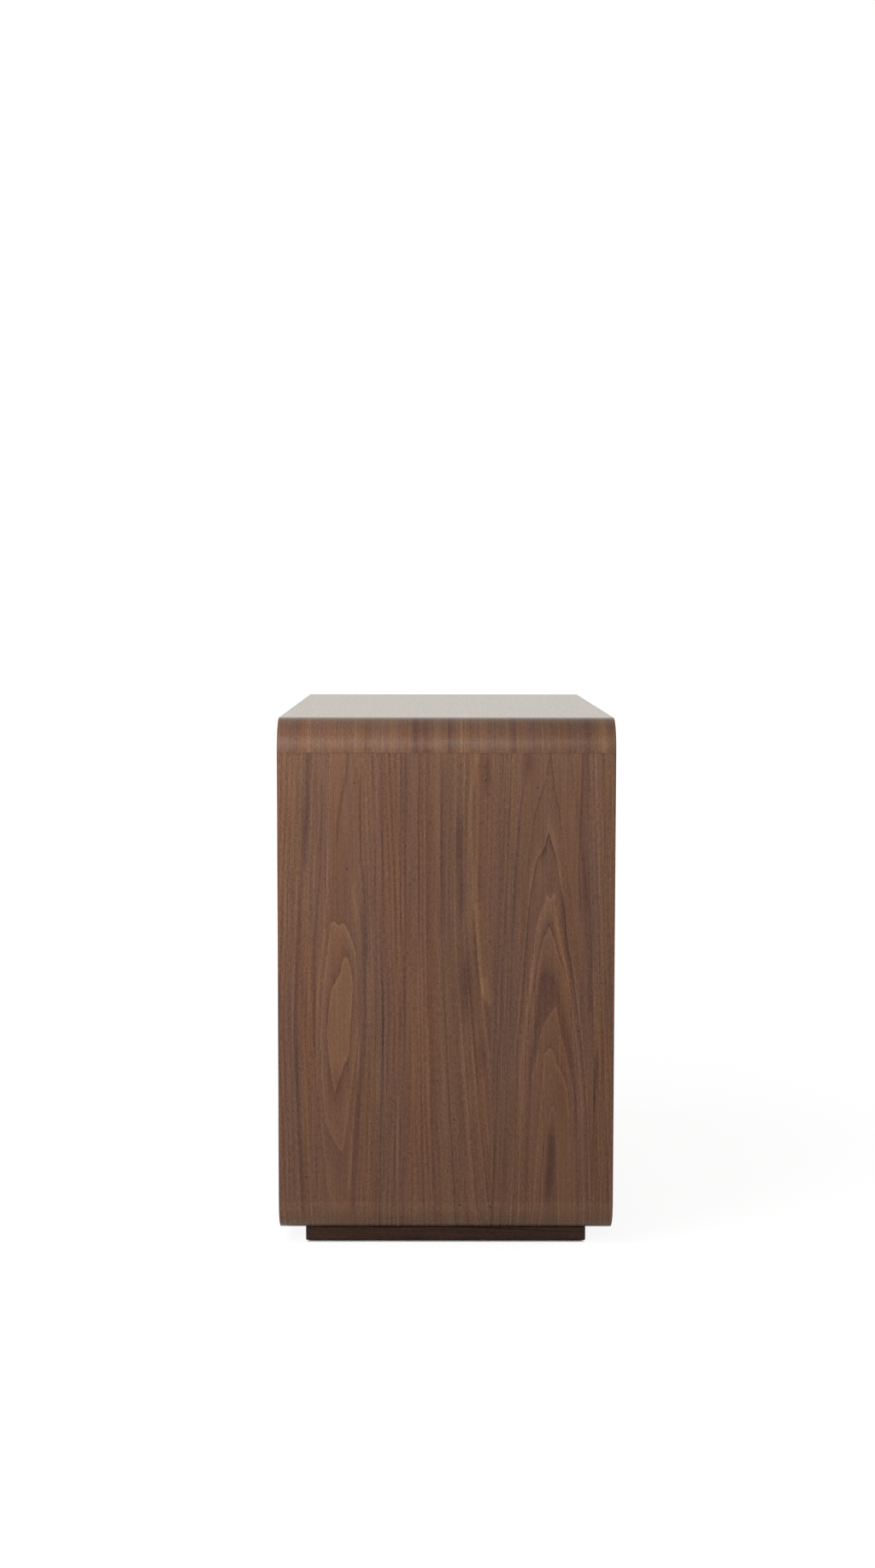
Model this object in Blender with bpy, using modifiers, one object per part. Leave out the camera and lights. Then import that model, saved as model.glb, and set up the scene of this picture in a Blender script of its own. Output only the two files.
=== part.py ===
"""A three-drawer dresser in walnut veneer with a bent "waterfall" case on a recessed plinth.

Units are metres, +Z is up, the front faces -Y and +X is the right-hand end seen from the front.
The origin is on the floor, under the middle of the case.
"""

import math

import bmesh
import bpy

# Overall size of the dresser
LENGTH = 0.920
DEPTH = 0.495
HEIGHT = 0.787

# Case shell: top, ends and bottom are one wall thickness, bent at all four corners
WALL = 0.022
CORNER_RADIUS = 0.048
CORNER_STEPS = 10
SEAM_DROP = 0.0015          # straight lip of the top below its bend, down to the end panel's seam
BEND_LAP = 0.0015           # straight lip of the end panel past its lower bend, up to the bottom's seam
TONGUE_THICK = 0.006
TONGUE_WIDTH = 0.020
TONGUE_STOP = 0.030         # the tongue's groove stops short of the front and back edges

# Back panel, let into a rebate round the rear edge of the shell
BACK_THICK = 0.006
BACK_INSET = 0.001
REBATE_WIDTH = 0.008
REBATE_CLEARANCE = 0.0005

# Rails behind the finger gaps: one under the top, the others housed in the end panels
RAIL_THICK = 0.018
RAIL_DEPTH = 0.070
RAIL_SETBACK = 0.042
HOUSING_DEPTH = 0.006

# Plinth frame and its glides
PLINTH_HEIGHT = 0.0207
PLINTH_THICK = 0.018
PLINTH_RECESS = 0.038
BLOCK_SIDE = 0.040
BLOCK_LIFT = 0.002          # the blocks clear the underside of the plinth boards by this much
GLIDE_RADIUS = 0.011
GLIDE_PROUD = 0.001
GLIDE_EASE = 0.0006
GLIDE_STEM_RADIUS = 0.002
GLIDE_STEM_LENGTH = 0.010
GLIDE_STEPS = 16

# Drawers
DRAWER_NAMES = ("lower", "middle", "upper")
FRONT_THICK = 0.020
FRONT_INSET = 0.002
FRONT_REVEAL = 0.003
FINGER_GAP = 0.020          # open slot above each drawer front
GRIP_LAND = 0.008           # what is left of the front's top edge in front of the grip bevel
GRIP_HEIGHT = 0.022
BOX_LIFT = 0.015            # drawer box above the lower edge of its front
BOX_DROP = 0.045            # drawer box below the upper edge of its front
BOX_LENGTH = 0.440
BOARD_THICK = 0.012
BOTTOM_THICK = 0.006
BOTTOM_RISE = 0.010
GROOVE_DEPTH = 0.006
TAIL_PITCH = 0.032
TAIL_SHARE = 0.56           # root width of a dovetail as a share of its pitch
TAIL_SLOPE = 1 / 6

# Telescopic runners, in the space between the case and the drawer box
RUNNER_SPACE = 0.013
RUNNER_HEIGHT = 0.045
RUNNER_SHORT = 0.005        # how much shorter than the drawer box a runner is
RUNNER_SETBACK = 0.003
RUNNER_RISE = 0.060         # centre of the runner above the lower edge of the drawer box
RUNNER_INSET = 0.0015       # open edge of the case channel short of the drawer box
STEEL = 0.0012
RUNNER_LIP = 0.0028
RUNNER_PLAY = 0.0004

# Clearances
JOINT_GAP = 0.0003          # glue line or seat between two pieces
WELD = 1e-6
CUT_MARGIN = 0.010          # how far a cutter passes the face it opens

# Heights and half sizes that follow
CASE_BASE = GLIDE_PROUD + PLINTH_HEIGHT + JOINT_GAP
HALF_LENGTH = LENGTH / 2
HALF_DEPTH = DEPTH / 2
INNER_HALF = HALF_LENGTH - WALL
INNER_FLOOR = CASE_BASE + WALL
INNER_CEILING = HEIGHT - WALL
BEND_X = HALF_LENGTH - CORNER_RADIUS
TOP_SEAM = HEIGHT - CORNER_RADIUS - SEAM_DROP
BOTTOM_SEAM = BEND_X - BEND_LAP
FRONT_FACE = -HALF_DEPTH + FRONT_INSET
FRONT_REAR = FRONT_FACE + FRONT_THICK
FRONT_HEIGHT = (INNER_CEILING - INNER_FLOOR - FRONT_REVEAL) / len(DRAWER_NAMES) - FINGER_GAP
BOX_HALF = INNER_HALF - RUNNER_SPACE
BOX_HEIGHT = FRONT_HEIGHT - BOX_LIFT - BOX_DROP
BOX_FRONT = FRONT_REAR + JOINT_GAP
BOX_REAR = BOX_FRONT + BOX_LENGTH
RUNNER_LENGTH = BOX_LENGTH - RUNNER_SHORT


def clear_scene():
    for obj in list(bpy.data.objects):
        bpy.data.objects.remove(obj, do_unlink=True)


def make_collection(name):
    collection = bpy.data.collections.new(name)
    bpy.context.scene.collection.children.link(collection)
    return collection


def make_material(name, colour, roughness, metallic=0.0):
    material = bpy.data.materials.new(name)
    material.use_nodes = True
    shader = material.node_tree.nodes["Principled BSDF"]
    shader.inputs["Base Color"].default_value = (*colour, 1.0)
    shader.inputs["Roughness"].default_value = roughness
    shader.inputs["Metallic"].default_value = metallic
    return material


clear_scene()
PARTS = make_collection("dresser")
CUTTERS = make_collection("cutters")
WALNUT = make_material("walnut_veneer", (0.150, 0.078, 0.048), 0.42)
DARK_WALNUT = make_material("plinth_walnut", (0.060, 0.032, 0.021), 0.50)
BIRCH = make_material("birch_ply", (0.560, 0.410, 0.255), 0.55)
ZINC = make_material("zinc_steel", (0.560, 0.570, 0.580), 0.35, 1.0)
NYLON = make_material("glide_nylon", (0.030, 0.026, 0.024), 0.45)


def add_object(name, mesh, material=None):
    """Links a mesh as a part, or as a cutter where it has no material."""
    obj = bpy.data.objects.new(name, mesh)
    if material is None:
        CUTTERS.objects.link(obj)
        obj.hide_render = True
        obj.display_type = "WIRE"
    else:
        PARTS.objects.link(obj)
        mesh.materials.append(material)
    return obj


def add_box(name, low, high, material=None):
    """A rectangular board between two opposite corners."""
    size = [b - a for a, b in zip(low, high)]
    mesh = bpy.data.meshes.new(name)
    shape = bmesh.new()
    bmesh.ops.create_cube(shape, size=1.0)
    bmesh.ops.scale(shape, vec=size, verts=shape.verts)
    shape.to_mesh(mesh)
    shape.free()
    obj = add_object(name, mesh, material)
    obj.location = [(a + b) / 2 for a, b in zip(low, high)]
    return obj


# How an outline's own plane and its thickness turn into the part's frame
TURNS = {
    "X": (math.pi / 2, 0.0, math.pi / 2),   # outline in (Y, Z), thickness along X
    "Y": (math.pi / 2, 0.0, 0.0),           # outline in (X, Z), thickness along Y
    "Z": (0.0, 0.0, 0.0),                   # outline in (X, Y), thickness along Z
}


def add_prism(name, outlines, start, end, along, material=None):
    """One or more flat outlines, filled and given their thickness from start to end along an axis."""
    curve = bpy.data.curves.new(name, "CURVE")
    curve.dimensions = "2D"
    curve.fill_mode = "BOTH"
    curve.extrude = (end - start) / 2
    for outline in outlines:
        spline = curve.splines.new("POLY")
        spline.points.add(len(outline) - 1)
        for point, (a, b) in zip(spline.points, outline):
            point.co = (a, b, 0.0, 1.0)
        spline.use_cyclic_u = True
    guide = bpy.data.objects.new(name, curve)
    PARTS.objects.link(guide)
    bpy.context.view_layer.update()
    mesh = bpy.data.meshes.new_from_object(guide.evaluated_get(bpy.context.evaluated_depsgraph_get()))
    bpy.data.objects.remove(guide)
    bpy.data.curves.remove(curve)
    shape = bmesh.new()
    shape.from_mesh(mesh)
    bmesh.ops.remove_doubles(shape, verts=shape.verts, dist=WELD)
    bmesh.ops.recalc_face_normals(shape, faces=shape.faces)
    shape.to_mesh(mesh)
    shape.free()
    mesh.name = name
    mesh.materials.clear()
    mesh.shade_smooth()
    mesh.set_sharp_from_angle(angle=math.radians(30))
    obj = add_object(name, mesh, material)
    obj.rotation_euler = TURNS[along]
    obj.location["XYZ".index(along)] = (start + end) / 2
    return obj


def cut(obj, cutter):
    modifier = obj.modifiers.new(cutter.name, "BOOLEAN")
    modifier.operation = "DIFFERENCE"
    modifier.solver = "EXACT"
    modifier.object = cutter


def arc(centre, radius, first, last, steps=CORNER_STEPS):
    """Points along a circle, from the first angle to the last, in degrees."""
    angles = [math.radians(first + (last - first) * i / steps) for i in range(steps + 1)]
    return [(centre[0] + radius * math.cos(a), centre[1] + radius * math.sin(a)) for a in angles]


def mirrored(outline):
    return [(-a, b) for a, b in outline]


def grown(low, high, by):
    """The corners of a box that clears the given box by the same amount on every side."""
    return [a - by for a in low], [b + by for b in high]


def shell_outline(inset):
    """The rounded rectangle that lies this far inside the outer face of the case."""
    half = HALF_LENGTH - inset
    low = CASE_BASE + inset
    high = HEIGHT - inset
    radius = CORNER_RADIUS - inset
    return (
        arc((half - radius, high - radius), radius, 0, 90)
        + arc((radius - half, high - radius), radius, 90, 180)
        + arc((radius - half, low + radius), radius, 180, 270)
        + arc((half - radius, low + radius), radius, 270, 360)
    )


# Case shell


def top_outline():
    """The flat top with a quarter bend at each end, down to the seams on the end panels."""
    inner_radius = CORNER_RADIUS - WALL
    bend_z = HEIGHT - CORNER_RADIUS
    outer = [(HALF_LENGTH, TOP_SEAM)] + arc((BEND_X, bend_z), CORNER_RADIUS, 0, 90)
    inner = arc((BEND_X, bend_z), inner_radius, 90, 0) + [(INNER_HALF, TOP_SEAM)]
    left_outer = mirrored(outer)[::-1]
    left_inner = mirrored(inner)[::-1]
    return outer + left_outer + left_inner + inner


def end_outline():
    """The right-hand end panel: a flat wall whose lower edge bends under the case."""
    bend_z = CASE_BASE + CORNER_RADIUS
    seam = TOP_SEAM - JOINT_GAP
    outer = [(HALF_LENGTH, seam)] + arc((BEND_X, bend_z), CORNER_RADIUS, 0, -90)
    under = [(BOTTOM_SEAM, CASE_BASE), (BOTTOM_SEAM, INNER_FLOOR)]
    inner = arc((BEND_X, bend_z), CORNER_RADIUS - WALL, -90, 0) + [(INNER_HALF, seam)]
    return outer + under + inner


def tongue_box(x, z, size_x, size_z):
    reach = HALF_DEPTH - TONGUE_STOP
    return (x - size_x / 2, -reach, z - size_z / 2), (x + size_x / 2, reach, z + size_z / 2)


def build_tongue(name, box, joined):
    """A loose tongue across a seam, with its groove in both of the panels that it joins."""
    add_box(name, *box, BIRCH)
    groove = add_box(name + "_groove", *grown(*box, JOINT_GAP))
    for panel in joined:
        cut(panel, groove)


def build_case():
    top = add_prism("case_top", [top_outline()], -HALF_DEPTH, HALF_DEPTH, "Y", WALNUT)
    right = add_prism("end_panel_right", [end_outline()], -HALF_DEPTH, HALF_DEPTH, "Y", WALNUT)
    left = add_prism("end_panel_left", [mirrored(end_outline())], -HALF_DEPTH, HALF_DEPTH, "Y", WALNUT)
    bottom_half = BOTTOM_SEAM - JOINT_GAP
    bottom = add_box(
        "case_bottom",
        (-bottom_half, -HALF_DEPTH, CASE_BASE),
        (bottom_half, HALF_DEPTH, INNER_FLOOR),
        WALNUT,
    )
    rebate = add_prism(
        "back_rebate",
        [shell_outline(WALL - REBATE_WIDTH)],
        HALF_DEPTH - BACK_INSET - BACK_THICK - JOINT_GAP,
        HALF_DEPTH + CUT_MARGIN,
        "Y",
    )
    for panel in (top, right, left, bottom):
        cut(panel, rebate)
    for side, end, sign in (("left", left, -1), ("right", right, 1)):
        wall_x = sign * (HALF_LENGTH - WALL / 2)
        upright = tongue_box(wall_x, TOP_SEAM - JOINT_GAP / 2, TONGUE_THICK, TONGUE_WIDTH)
        build_tongue("top_seam_tongue_" + side, upright, (top, end))
        seam_x = sign * (BOTTOM_SEAM - JOINT_GAP / 2)
        flat = tongue_box(seam_x, CASE_BASE + WALL / 2, TONGUE_WIDTH, TONGUE_THICK)
        build_tongue("bottom_seam_tongue_" + side, flat, (bottom, end))
    build_back()
    build_rails((left, right))


def build_back():
    rear = HALF_DEPTH - BACK_INSET
    outline = shell_outline(WALL - REBATE_WIDTH + REBATE_CLEARANCE)
    add_prism("back_panel", [outline], rear - BACK_THICK, rear, "Y", WALNUT)


def build_rails(ends):
    """A rail behind each finger gap: glued up under the top, or let into both end panels."""
    front = -HALF_DEPTH + RAIL_SETBACK
    ceiling = INNER_CEILING - JOINT_GAP
    add_box(
        "top_rail",
        (-BEND_X, front, ceiling - RAIL_THICK),
        (BEND_X, front + RAIL_DEPTH, ceiling),
        WALNUT,
    )
    reach = INNER_HALF + HOUSING_DEPTH - JOINT_GAP
    for name, above in zip(DRAWER_NAMES[1:], range(1, len(DRAWER_NAMES))):
        centre = front_bottom(above) - FINGER_GAP / 2
        box = (
            (-reach, front, centre - RAIL_THICK / 2),
            (reach, front + RAIL_DEPTH, centre + RAIL_THICK / 2),
        )
        add_box("divider_rail_under_" + name, *box, WALNUT)
        housing = add_box("housing_under_" + name, *grown(*box, JOINT_GAP))
        for end in ends:
            cut(end, housing)


# Plinth


def build_plinth():
    half_x = HALF_LENGTH - PLINTH_RECESS
    half_y = HALF_DEPTH - PLINTH_RECESS
    low = GLIDE_PROUD
    high = low + PLINTH_HEIGHT
    mitre_gap = JOINT_GAP * math.sqrt(2)
    for side, sign in (("left", -1), ("right", 1)):
        end = [
            (half_x, -half_y),
            (half_x, half_y),
            (half_x - PLINTH_THICK, half_y - PLINTH_THICK),
            (half_x - PLINTH_THICK, PLINTH_THICK - half_y),
        ]
        end = end if sign > 0 else mirrored(end)
        add_prism("plinth_end_" + side, [end], low, high, "Z", DARK_WALNUT)
    long_x = half_x - mitre_gap
    for side, sign in (("front", -1), ("back", 1)):
        board = [
            (-long_x, sign * half_y),
            (long_x, sign * half_y),
            (long_x - PLINTH_THICK, sign * (half_y - PLINTH_THICK)),
            (PLINTH_THICK - long_x, sign * (half_y - PLINTH_THICK)),
        ]
        add_prism("plinth_" + side, [board], low, high, "Z", DARK_WALNUT)
    inner_x = half_x - PLINTH_THICK - JOINT_GAP
    inner_y = half_y - PLINTH_THICK - JOINT_GAP
    for depth_side, sign_y in (("front", -1), ("back", 1)):
        for side, sign_x in (("left", -1), ("right", 1)):
            corner = (sign_x * inner_x, sign_y * inner_y)
            build_corner(depth_side + "_" + side, corner, sign_x, sign_y, low, high)


def build_corner(place, corner, sign_x, sign_y, low, high):
    """A glue block in the plinth's corner, and the glide that is nailed up into it."""
    far = (corner[0] - sign_x * BLOCK_SIDE, corner[1] - sign_y * BLOCK_SIDE)
    xs = sorted((corner[0], far[0]))
    ys = sorted((corner[1], far[1]))
    block_low = low + BLOCK_LIFT
    block = add_box("plinth_block_" + place, (xs[0], ys[0], block_low), (xs[1], ys[1], high), BIRCH)
    centre = (sum(xs) / 2, sum(ys) / 2)
    build_glide("glide_" + place, centre, block_low - JOINT_GAP)
    bore_top = block_low + GLIDE_STEM_LENGTH + JOINT_GAP
    bore = add_cylinder(
        "bore_" + place,
        centre,
        GLIDE_STEM_RADIUS + JOINT_GAP,
        block_low - CUT_MARGIN,
        bore_top,
    )
    cut(block, bore)


def add_cylinder(name, centre, radius, low, high):
    """An upright round cutter."""
    mesh = bpy.data.meshes.new(name)
    shape = bmesh.new()
    bmesh.ops.create_cone(
        shape,
        cap_ends=True,
        segments=GLIDE_STEPS,
        radius1=radius,
        radius2=radius,
        depth=high - low,
    )
    shape.to_mesh(mesh)
    shape.free()
    obj = add_object(name, mesh)
    obj.location = (*centre, (low + high) / 2)
    return obj


def build_glide(name, centre, seat):
    """A turned nylon button with a nail stem. The profile runs down the outer side."""
    profile = [
        (0.0, seat + GLIDE_STEM_LENGTH),
        (GLIDE_STEM_RADIUS, seat + GLIDE_STEM_LENGTH),
        (GLIDE_STEM_RADIUS, seat),
        (GLIDE_RADIUS, seat),
        (GLIDE_RADIUS, GLIDE_EASE),
        (GLIDE_RADIUS - GLIDE_EASE, 0.0),
        (0.0, 0.0),
    ]
    mesh = bpy.data.meshes.new(name)
    mesh.from_pydata([(r, 0.0, z) for r, z in profile], [(i, i + 1) for i in range(len(profile) - 1)], [])
    obj = add_object(name, mesh, NYLON)
    obj.location = (*centre, 0.0)
    turn = obj.modifiers.new("turned", "SCREW")
    turn.steps = GLIDE_STEPS
    turn.render_steps = GLIDE_STEPS
    turn.use_merge_vertices = True
    turn.merge_threshold = WELD
    return obj


# Drawers


def front_bottom(index):
    return INNER_FLOOR + FRONT_REVEAL + index * (FRONT_HEIGHT + FINGER_GAP)


def ride(obj, carrier):
    """Parents a piece to the empty that it slides with, without moving it."""
    obj.parent = carrier
    obj.matrix_parent_inverse = carrier.matrix_world.inverted()


def add_carrier(name, location):
    carrier = bpy.data.objects.new(name, None)
    PARTS.objects.link(carrier)
    carrier.location = location
    bpy.context.view_layer.update()
    return carrier


def build_front(name, index):
    """An inset front. The lowest one is rounded to the inside of the case's lower bends."""
    half = INNER_HALF - FRONT_REVEAL
    low = front_bottom(index)
    high = low + FRONT_HEIGHT
    if index == 0:
        radius = CORNER_RADIUS - WALL - FRONT_REVEAL
        lower = arc((radius - half, low + radius), radius, 180, 270)
        lower += arc((half - radius, low + radius), radius, 270, 360)
    else:
        lower = [(-half, low), (half, low)]
    outline = lower + [(half, high), (-half, high)]
    front = add_prism(name + "_front", [outline], FRONT_FACE, FRONT_REAR, "Y", WALNUT)
    slope = (FRONT_THICK - GRIP_LAND) / GRIP_HEIGHT
    land = FRONT_FACE + GRIP_LAND
    wedge = [
        (land - slope * CUT_MARGIN, high + CUT_MARGIN),
        (FRONT_REAR + slope * CUT_MARGIN, high - GRIP_HEIGHT - CUT_MARGIN),
        (FRONT_REAR + slope * CUT_MARGIN, high + CUT_MARGIN),
    ]
    grip = add_prism(name + "_grip", [wedge], -half - CUT_MARGIN, half + CUT_MARGIN, "X")
    cut(front, grip)
    return front


def tails(low, root, tip, slack):
    """Dovetail outlines in (Y, Z), one above the other, widening from root to tip."""
    count = max(2, round(BOX_HEIGHT / TAIL_PITCH))
    pitch = BOX_HEIGHT / count
    narrow = TAIL_SHARE * pitch / 2 + slack
    wide = narrow + TAIL_SLOPE * abs(tip - root)
    outlines = []
    for i in range(count):
        middle = low + pitch * (i + 0.5)
        outlines.append(
            [(root, middle - narrow), (tip, middle - wide), (tip, middle + wide), (root, middle + narrow)]
        )
    return outlines


def side_outline(low):
    """A drawer side in (Y, Z) with dovetails at both ends."""
    root_front = BOX_FRONT + BOARD_THICK + JOINT_GAP
    root_rear = BOX_REAR - BOARD_THICK - JOINT_GAP
    front = [point for tail in tails(low, root_front, BOX_FRONT, 0.0) for point in tail]
    rear = [point for tail in tails(low, root_rear, BOX_REAR, 0.0) for point in tail]
    high = low + BOX_HEIGHT
    upper_edge = [(root_front, high), (root_rear, high)]
    lower_edge = [(root_rear, low), (root_front, low)]
    return front + upper_edge + rear[::-1] + lower_edge


def build_pin_board(name, low, outer, inner, carrier):
    """The front or back of the drawer box, with sockets for the dovetails of both sides."""
    near, far = sorted((outer, inner))
    board = add_box(
        name,
        (-BOX_HALF, near, low),
        (BOX_HALF, far, low + BOX_HEIGHT),
        BIRCH,
    )
    toward = math.copysign(1.0, outer - inner)
    slack = JOINT_GAP - TAIL_SLOPE * CUT_MARGIN
    sockets = tails(low, inner - toward * CUT_MARGIN, outer + toward * CUT_MARGIN, slack)
    depth = BOARD_THICK + JOINT_GAP
    for side, sign in (("left", -1), ("right", 1)):
        ends = sorted((sign * (BOX_HALF - depth), sign * (BOX_HALF + CUT_MARGIN)))
        cut(board, add_prism(f"{name}_sockets_{side}", sockets, *ends, "X"))
    ride(board, carrier)
    return board


def build_box(name, index, carrier):
    """Dovetailed sides, front and back round a bottom that sits in a groove on all four."""
    low = front_bottom(index) + BOX_LIFT
    boards = [
        build_pin_board(name + "_subfront", low, BOX_FRONT, BOX_FRONT + BOARD_THICK, carrier),
        build_pin_board(name + "_back", low, BOX_REAR, BOX_REAR - BOARD_THICK, carrier),
    ]
    for side, sign in (("left", -1), ("right", 1)):
        faces = sorted((sign * BOX_HALF, sign * (BOX_HALF - BOARD_THICK)))
        board = add_prism(f"{name}_side_{side}", [side_outline(low)], *faces, "X", BIRCH)
        ride(board, carrier)
        boards.append(board)
    inset = BOARD_THICK - GROOVE_DEPTH + JOINT_GAP
    panel = (
        (inset - BOX_HALF, BOX_FRONT + inset, low + BOTTOM_RISE),
        (BOX_HALF - inset, BOX_REAR - inset, low + BOTTOM_RISE + BOTTOM_THICK),
    )
    ride(add_box(name + "_bottom", *panel, BIRCH), carrier)
    groove = add_box(name + "_groove", *grown(*panel, JOINT_GAP))
    ride(groove, carrier)
    for board in boards:
        cut(board, groove)


def build_drawers():
    for index, place in enumerate(DRAWER_NAMES):
        name = place + "_drawer"
        centre = front_bottom(index) + FRONT_HEIGHT / 2
        carrier = add_carrier(name, (0.0, FRONT_FACE, centre))
        ride(build_front(name, index), carrier)
        build_box(name, index, carrier)
        build_runners(place, index, carrier)


# Telescopic runners


def channel(near, far, half):
    """A steel channel with inward lips: its back at near, its lips at far, a flange half above and below."""
    flange = half - STEEL
    lip = flange - RUNNER_LIP
    return [
        (near, -half),
        (far, -half),
        (far, -lip),
        (far - STEEL, -lip),
        (far - STEEL, -flange),
        (near + STEEL, -flange),
        (near + STEEL, flange),
        (far - STEEL, flange),
        (far - STEEL, lip),
        (far, lip),
        (far, half),
        (near, half),
    ]


def hat(foot_near, foot_far, foot_half, leg_half, web_near, web_far):
    """The drawer's own rail: a web against the drawer side, two legs, and a ball race along each leg."""
    leg_inner = leg_half - STEEL
    return [
        (web_far, -leg_half),
        (web_far, leg_half),
        (foot_far, leg_half),
        (foot_far, foot_half),
        (foot_near, foot_half),
        (foot_near, leg_inner),
        (web_near, leg_inner),
        (web_near, -leg_inner),
        (foot_near, -leg_inner),
        (foot_near, -foot_half),
        (foot_far, -foot_half),
        (foot_far, -leg_half),
    ]


def runner_sections():
    """Sections of the three nested members: distance from the case wall, and height about the centre."""
    half = RUNNER_HEIGHT / 2
    open_edge = RUNNER_SPACE - RUNNER_INSET
    link_near = JOINT_GAP + STEEL + RUNNER_PLAY
    link_far = open_edge - STEEL - RUNNER_PLAY
    link_half = half - STEEL - RUNNER_PLAY
    return {
        "case": channel(JOINT_GAP, open_edge, half),
        "link": channel(link_near, link_far, link_half),
        "drawer": hat(
            foot_near=link_near + STEEL + RUNNER_PLAY,
            foot_far=link_far - STEEL - RUNNER_PLAY,
            foot_half=link_half - STEEL - RUNNER_PLAY,
            leg_half=link_half - STEEL - RUNNER_LIP - RUNNER_PLAY,
            web_near=RUNNER_SPACE - JOINT_GAP - STEEL,
            web_far=RUNNER_SPACE - JOINT_GAP,
        ),
    }


def build_runners(place, index, drawer_carrier):
    centre = front_bottom(index) + BOX_LIFT + RUNNER_RISE
    front = FRONT_REAR + RUNNER_SETBACK
    link_carrier = add_carrier(place + "_link_runners", (0.0, front, centre))
    carriers = {"case": None, "link": link_carrier, "drawer": drawer_carrier}
    for side, sign in (("left", -1), ("right", 1)):
        for member, section in runner_sections().items():
            outline = [(sign * (INNER_HALF - depth), centre + height) for depth, height in section]
            name = f"{place}_{member}_runner_{side}"
            runner = add_prism(name, [outline], front, front + RUNNER_LENGTH, "Y", ZINC)
            if carriers[member]:
                ride(runner, carriers[member])


build_case()
build_plinth()
build_drawers()
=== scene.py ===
"""The looks of a walnut dresser with a bent case and three inset drawers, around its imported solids."""

import math

import bmesh
import bpy
import numpy as np
from mathutils import Euler, Matrix, Vector


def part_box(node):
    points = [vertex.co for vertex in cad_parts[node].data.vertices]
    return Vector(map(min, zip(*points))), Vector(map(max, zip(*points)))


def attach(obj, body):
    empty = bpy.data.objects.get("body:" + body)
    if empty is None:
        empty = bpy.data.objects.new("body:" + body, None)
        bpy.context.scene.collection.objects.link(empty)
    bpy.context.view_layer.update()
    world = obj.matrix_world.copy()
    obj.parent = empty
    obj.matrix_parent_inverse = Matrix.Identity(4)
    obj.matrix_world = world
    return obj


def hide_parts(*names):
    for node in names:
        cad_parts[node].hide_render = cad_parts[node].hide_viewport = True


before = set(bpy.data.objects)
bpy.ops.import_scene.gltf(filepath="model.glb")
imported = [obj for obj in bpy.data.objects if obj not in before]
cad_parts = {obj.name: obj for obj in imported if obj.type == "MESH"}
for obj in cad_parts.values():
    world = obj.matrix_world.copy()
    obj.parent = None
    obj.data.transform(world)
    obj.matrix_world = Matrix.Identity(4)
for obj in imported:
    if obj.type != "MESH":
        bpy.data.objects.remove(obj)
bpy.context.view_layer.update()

# Case top
# A veneered board bent down over both ends of the case, with walnut leaves that run along the dresser
# and round the bends. It stops at a seam above each end panel. Eased arrises and satin lacquer.

BEND_RADIUS = 0.048
ARRIS = 0.0012
REBATE_WIDTH = 0.008
REBATE_DEPTH = 0.0073
SEAM_DROP = 0.0015
FACE_STEP = 0.0020
HIDDEN_STEP = 0.020
ALONG_STEP = 0.006
BEND_STEPS = 20
SHARP_FROM = math.radians(35)
RING_PITCH = 0.012
TOP_RING_WIDE = 0.018
TOP_SWAY = 0.004
TOP_LINE = 0.12
TOP_TONE = -0.04
TOP_WARMTH = -0.12
# How much a painted sheen lightens the lower half of each bend of the top
TOP_PAINTED_SHEEN = 0.10
STRIPE_MIDDLE = 0.46
STRIPE_REACH = 0.70
PLAIN_LINE = 0.3
LACQUER = 0.19
GRAIN_BUMP = 0.03
GRAIN_DEPTH = 0.0004

case_low, case_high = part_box("case_bottom")
_, top_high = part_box("case_top")
HALF_DEPTH = top_high.y
WALL = case_high.z - case_low.z
FLAT = top_high.x - BEND_RADIUS
QUARTER = BEND_RADIUS * math.pi / 2
DROP = top_high.z - case_low.z - 2 * BEND_RADIUS
HALF_ROUND = 2 * (FLAT + QUARTER) + DROP


def case_line(travel):
    """Points on the outside of the case in (X, Z), and the outward direction there.

    Travel is measured from the middle of the top, positive to the right. The line runs along the top,
    turns a quarter circle, drops down the end, turns again and comes back along the bottom. The left
    half mirrors the right.
    """
    travel = (travel + HALF_ROUND) % (2 * HALF_ROUND) - HALF_ROUND
    run = np.abs(travel)
    upper = np.clip((run - FLAT) / BEND_RADIUS, 0, math.pi / 2)
    drop = np.clip(run - FLAT - QUARTER, 0, DROP)
    lower = np.clip((run - FLAT - QUARTER - DROP) / BEND_RADIUS, 0, math.pi / 2)
    under = np.clip(run - FLAT - 2 * QUARTER - DROP, 0, FLAT)
    x = np.minimum(run, FLAT) + BEND_RADIUS * (np.sin(upper) + np.cos(lower) - 1) - under
    z = top_high.z - BEND_RADIUS * (1 - np.cos(upper) + np.sin(lower)) - drop
    side = np.where(travel < 0, -1.0, 1.0)
    turn = upper + lower
    return side * x, z, side * np.sin(turn), np.cos(turn)


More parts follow.
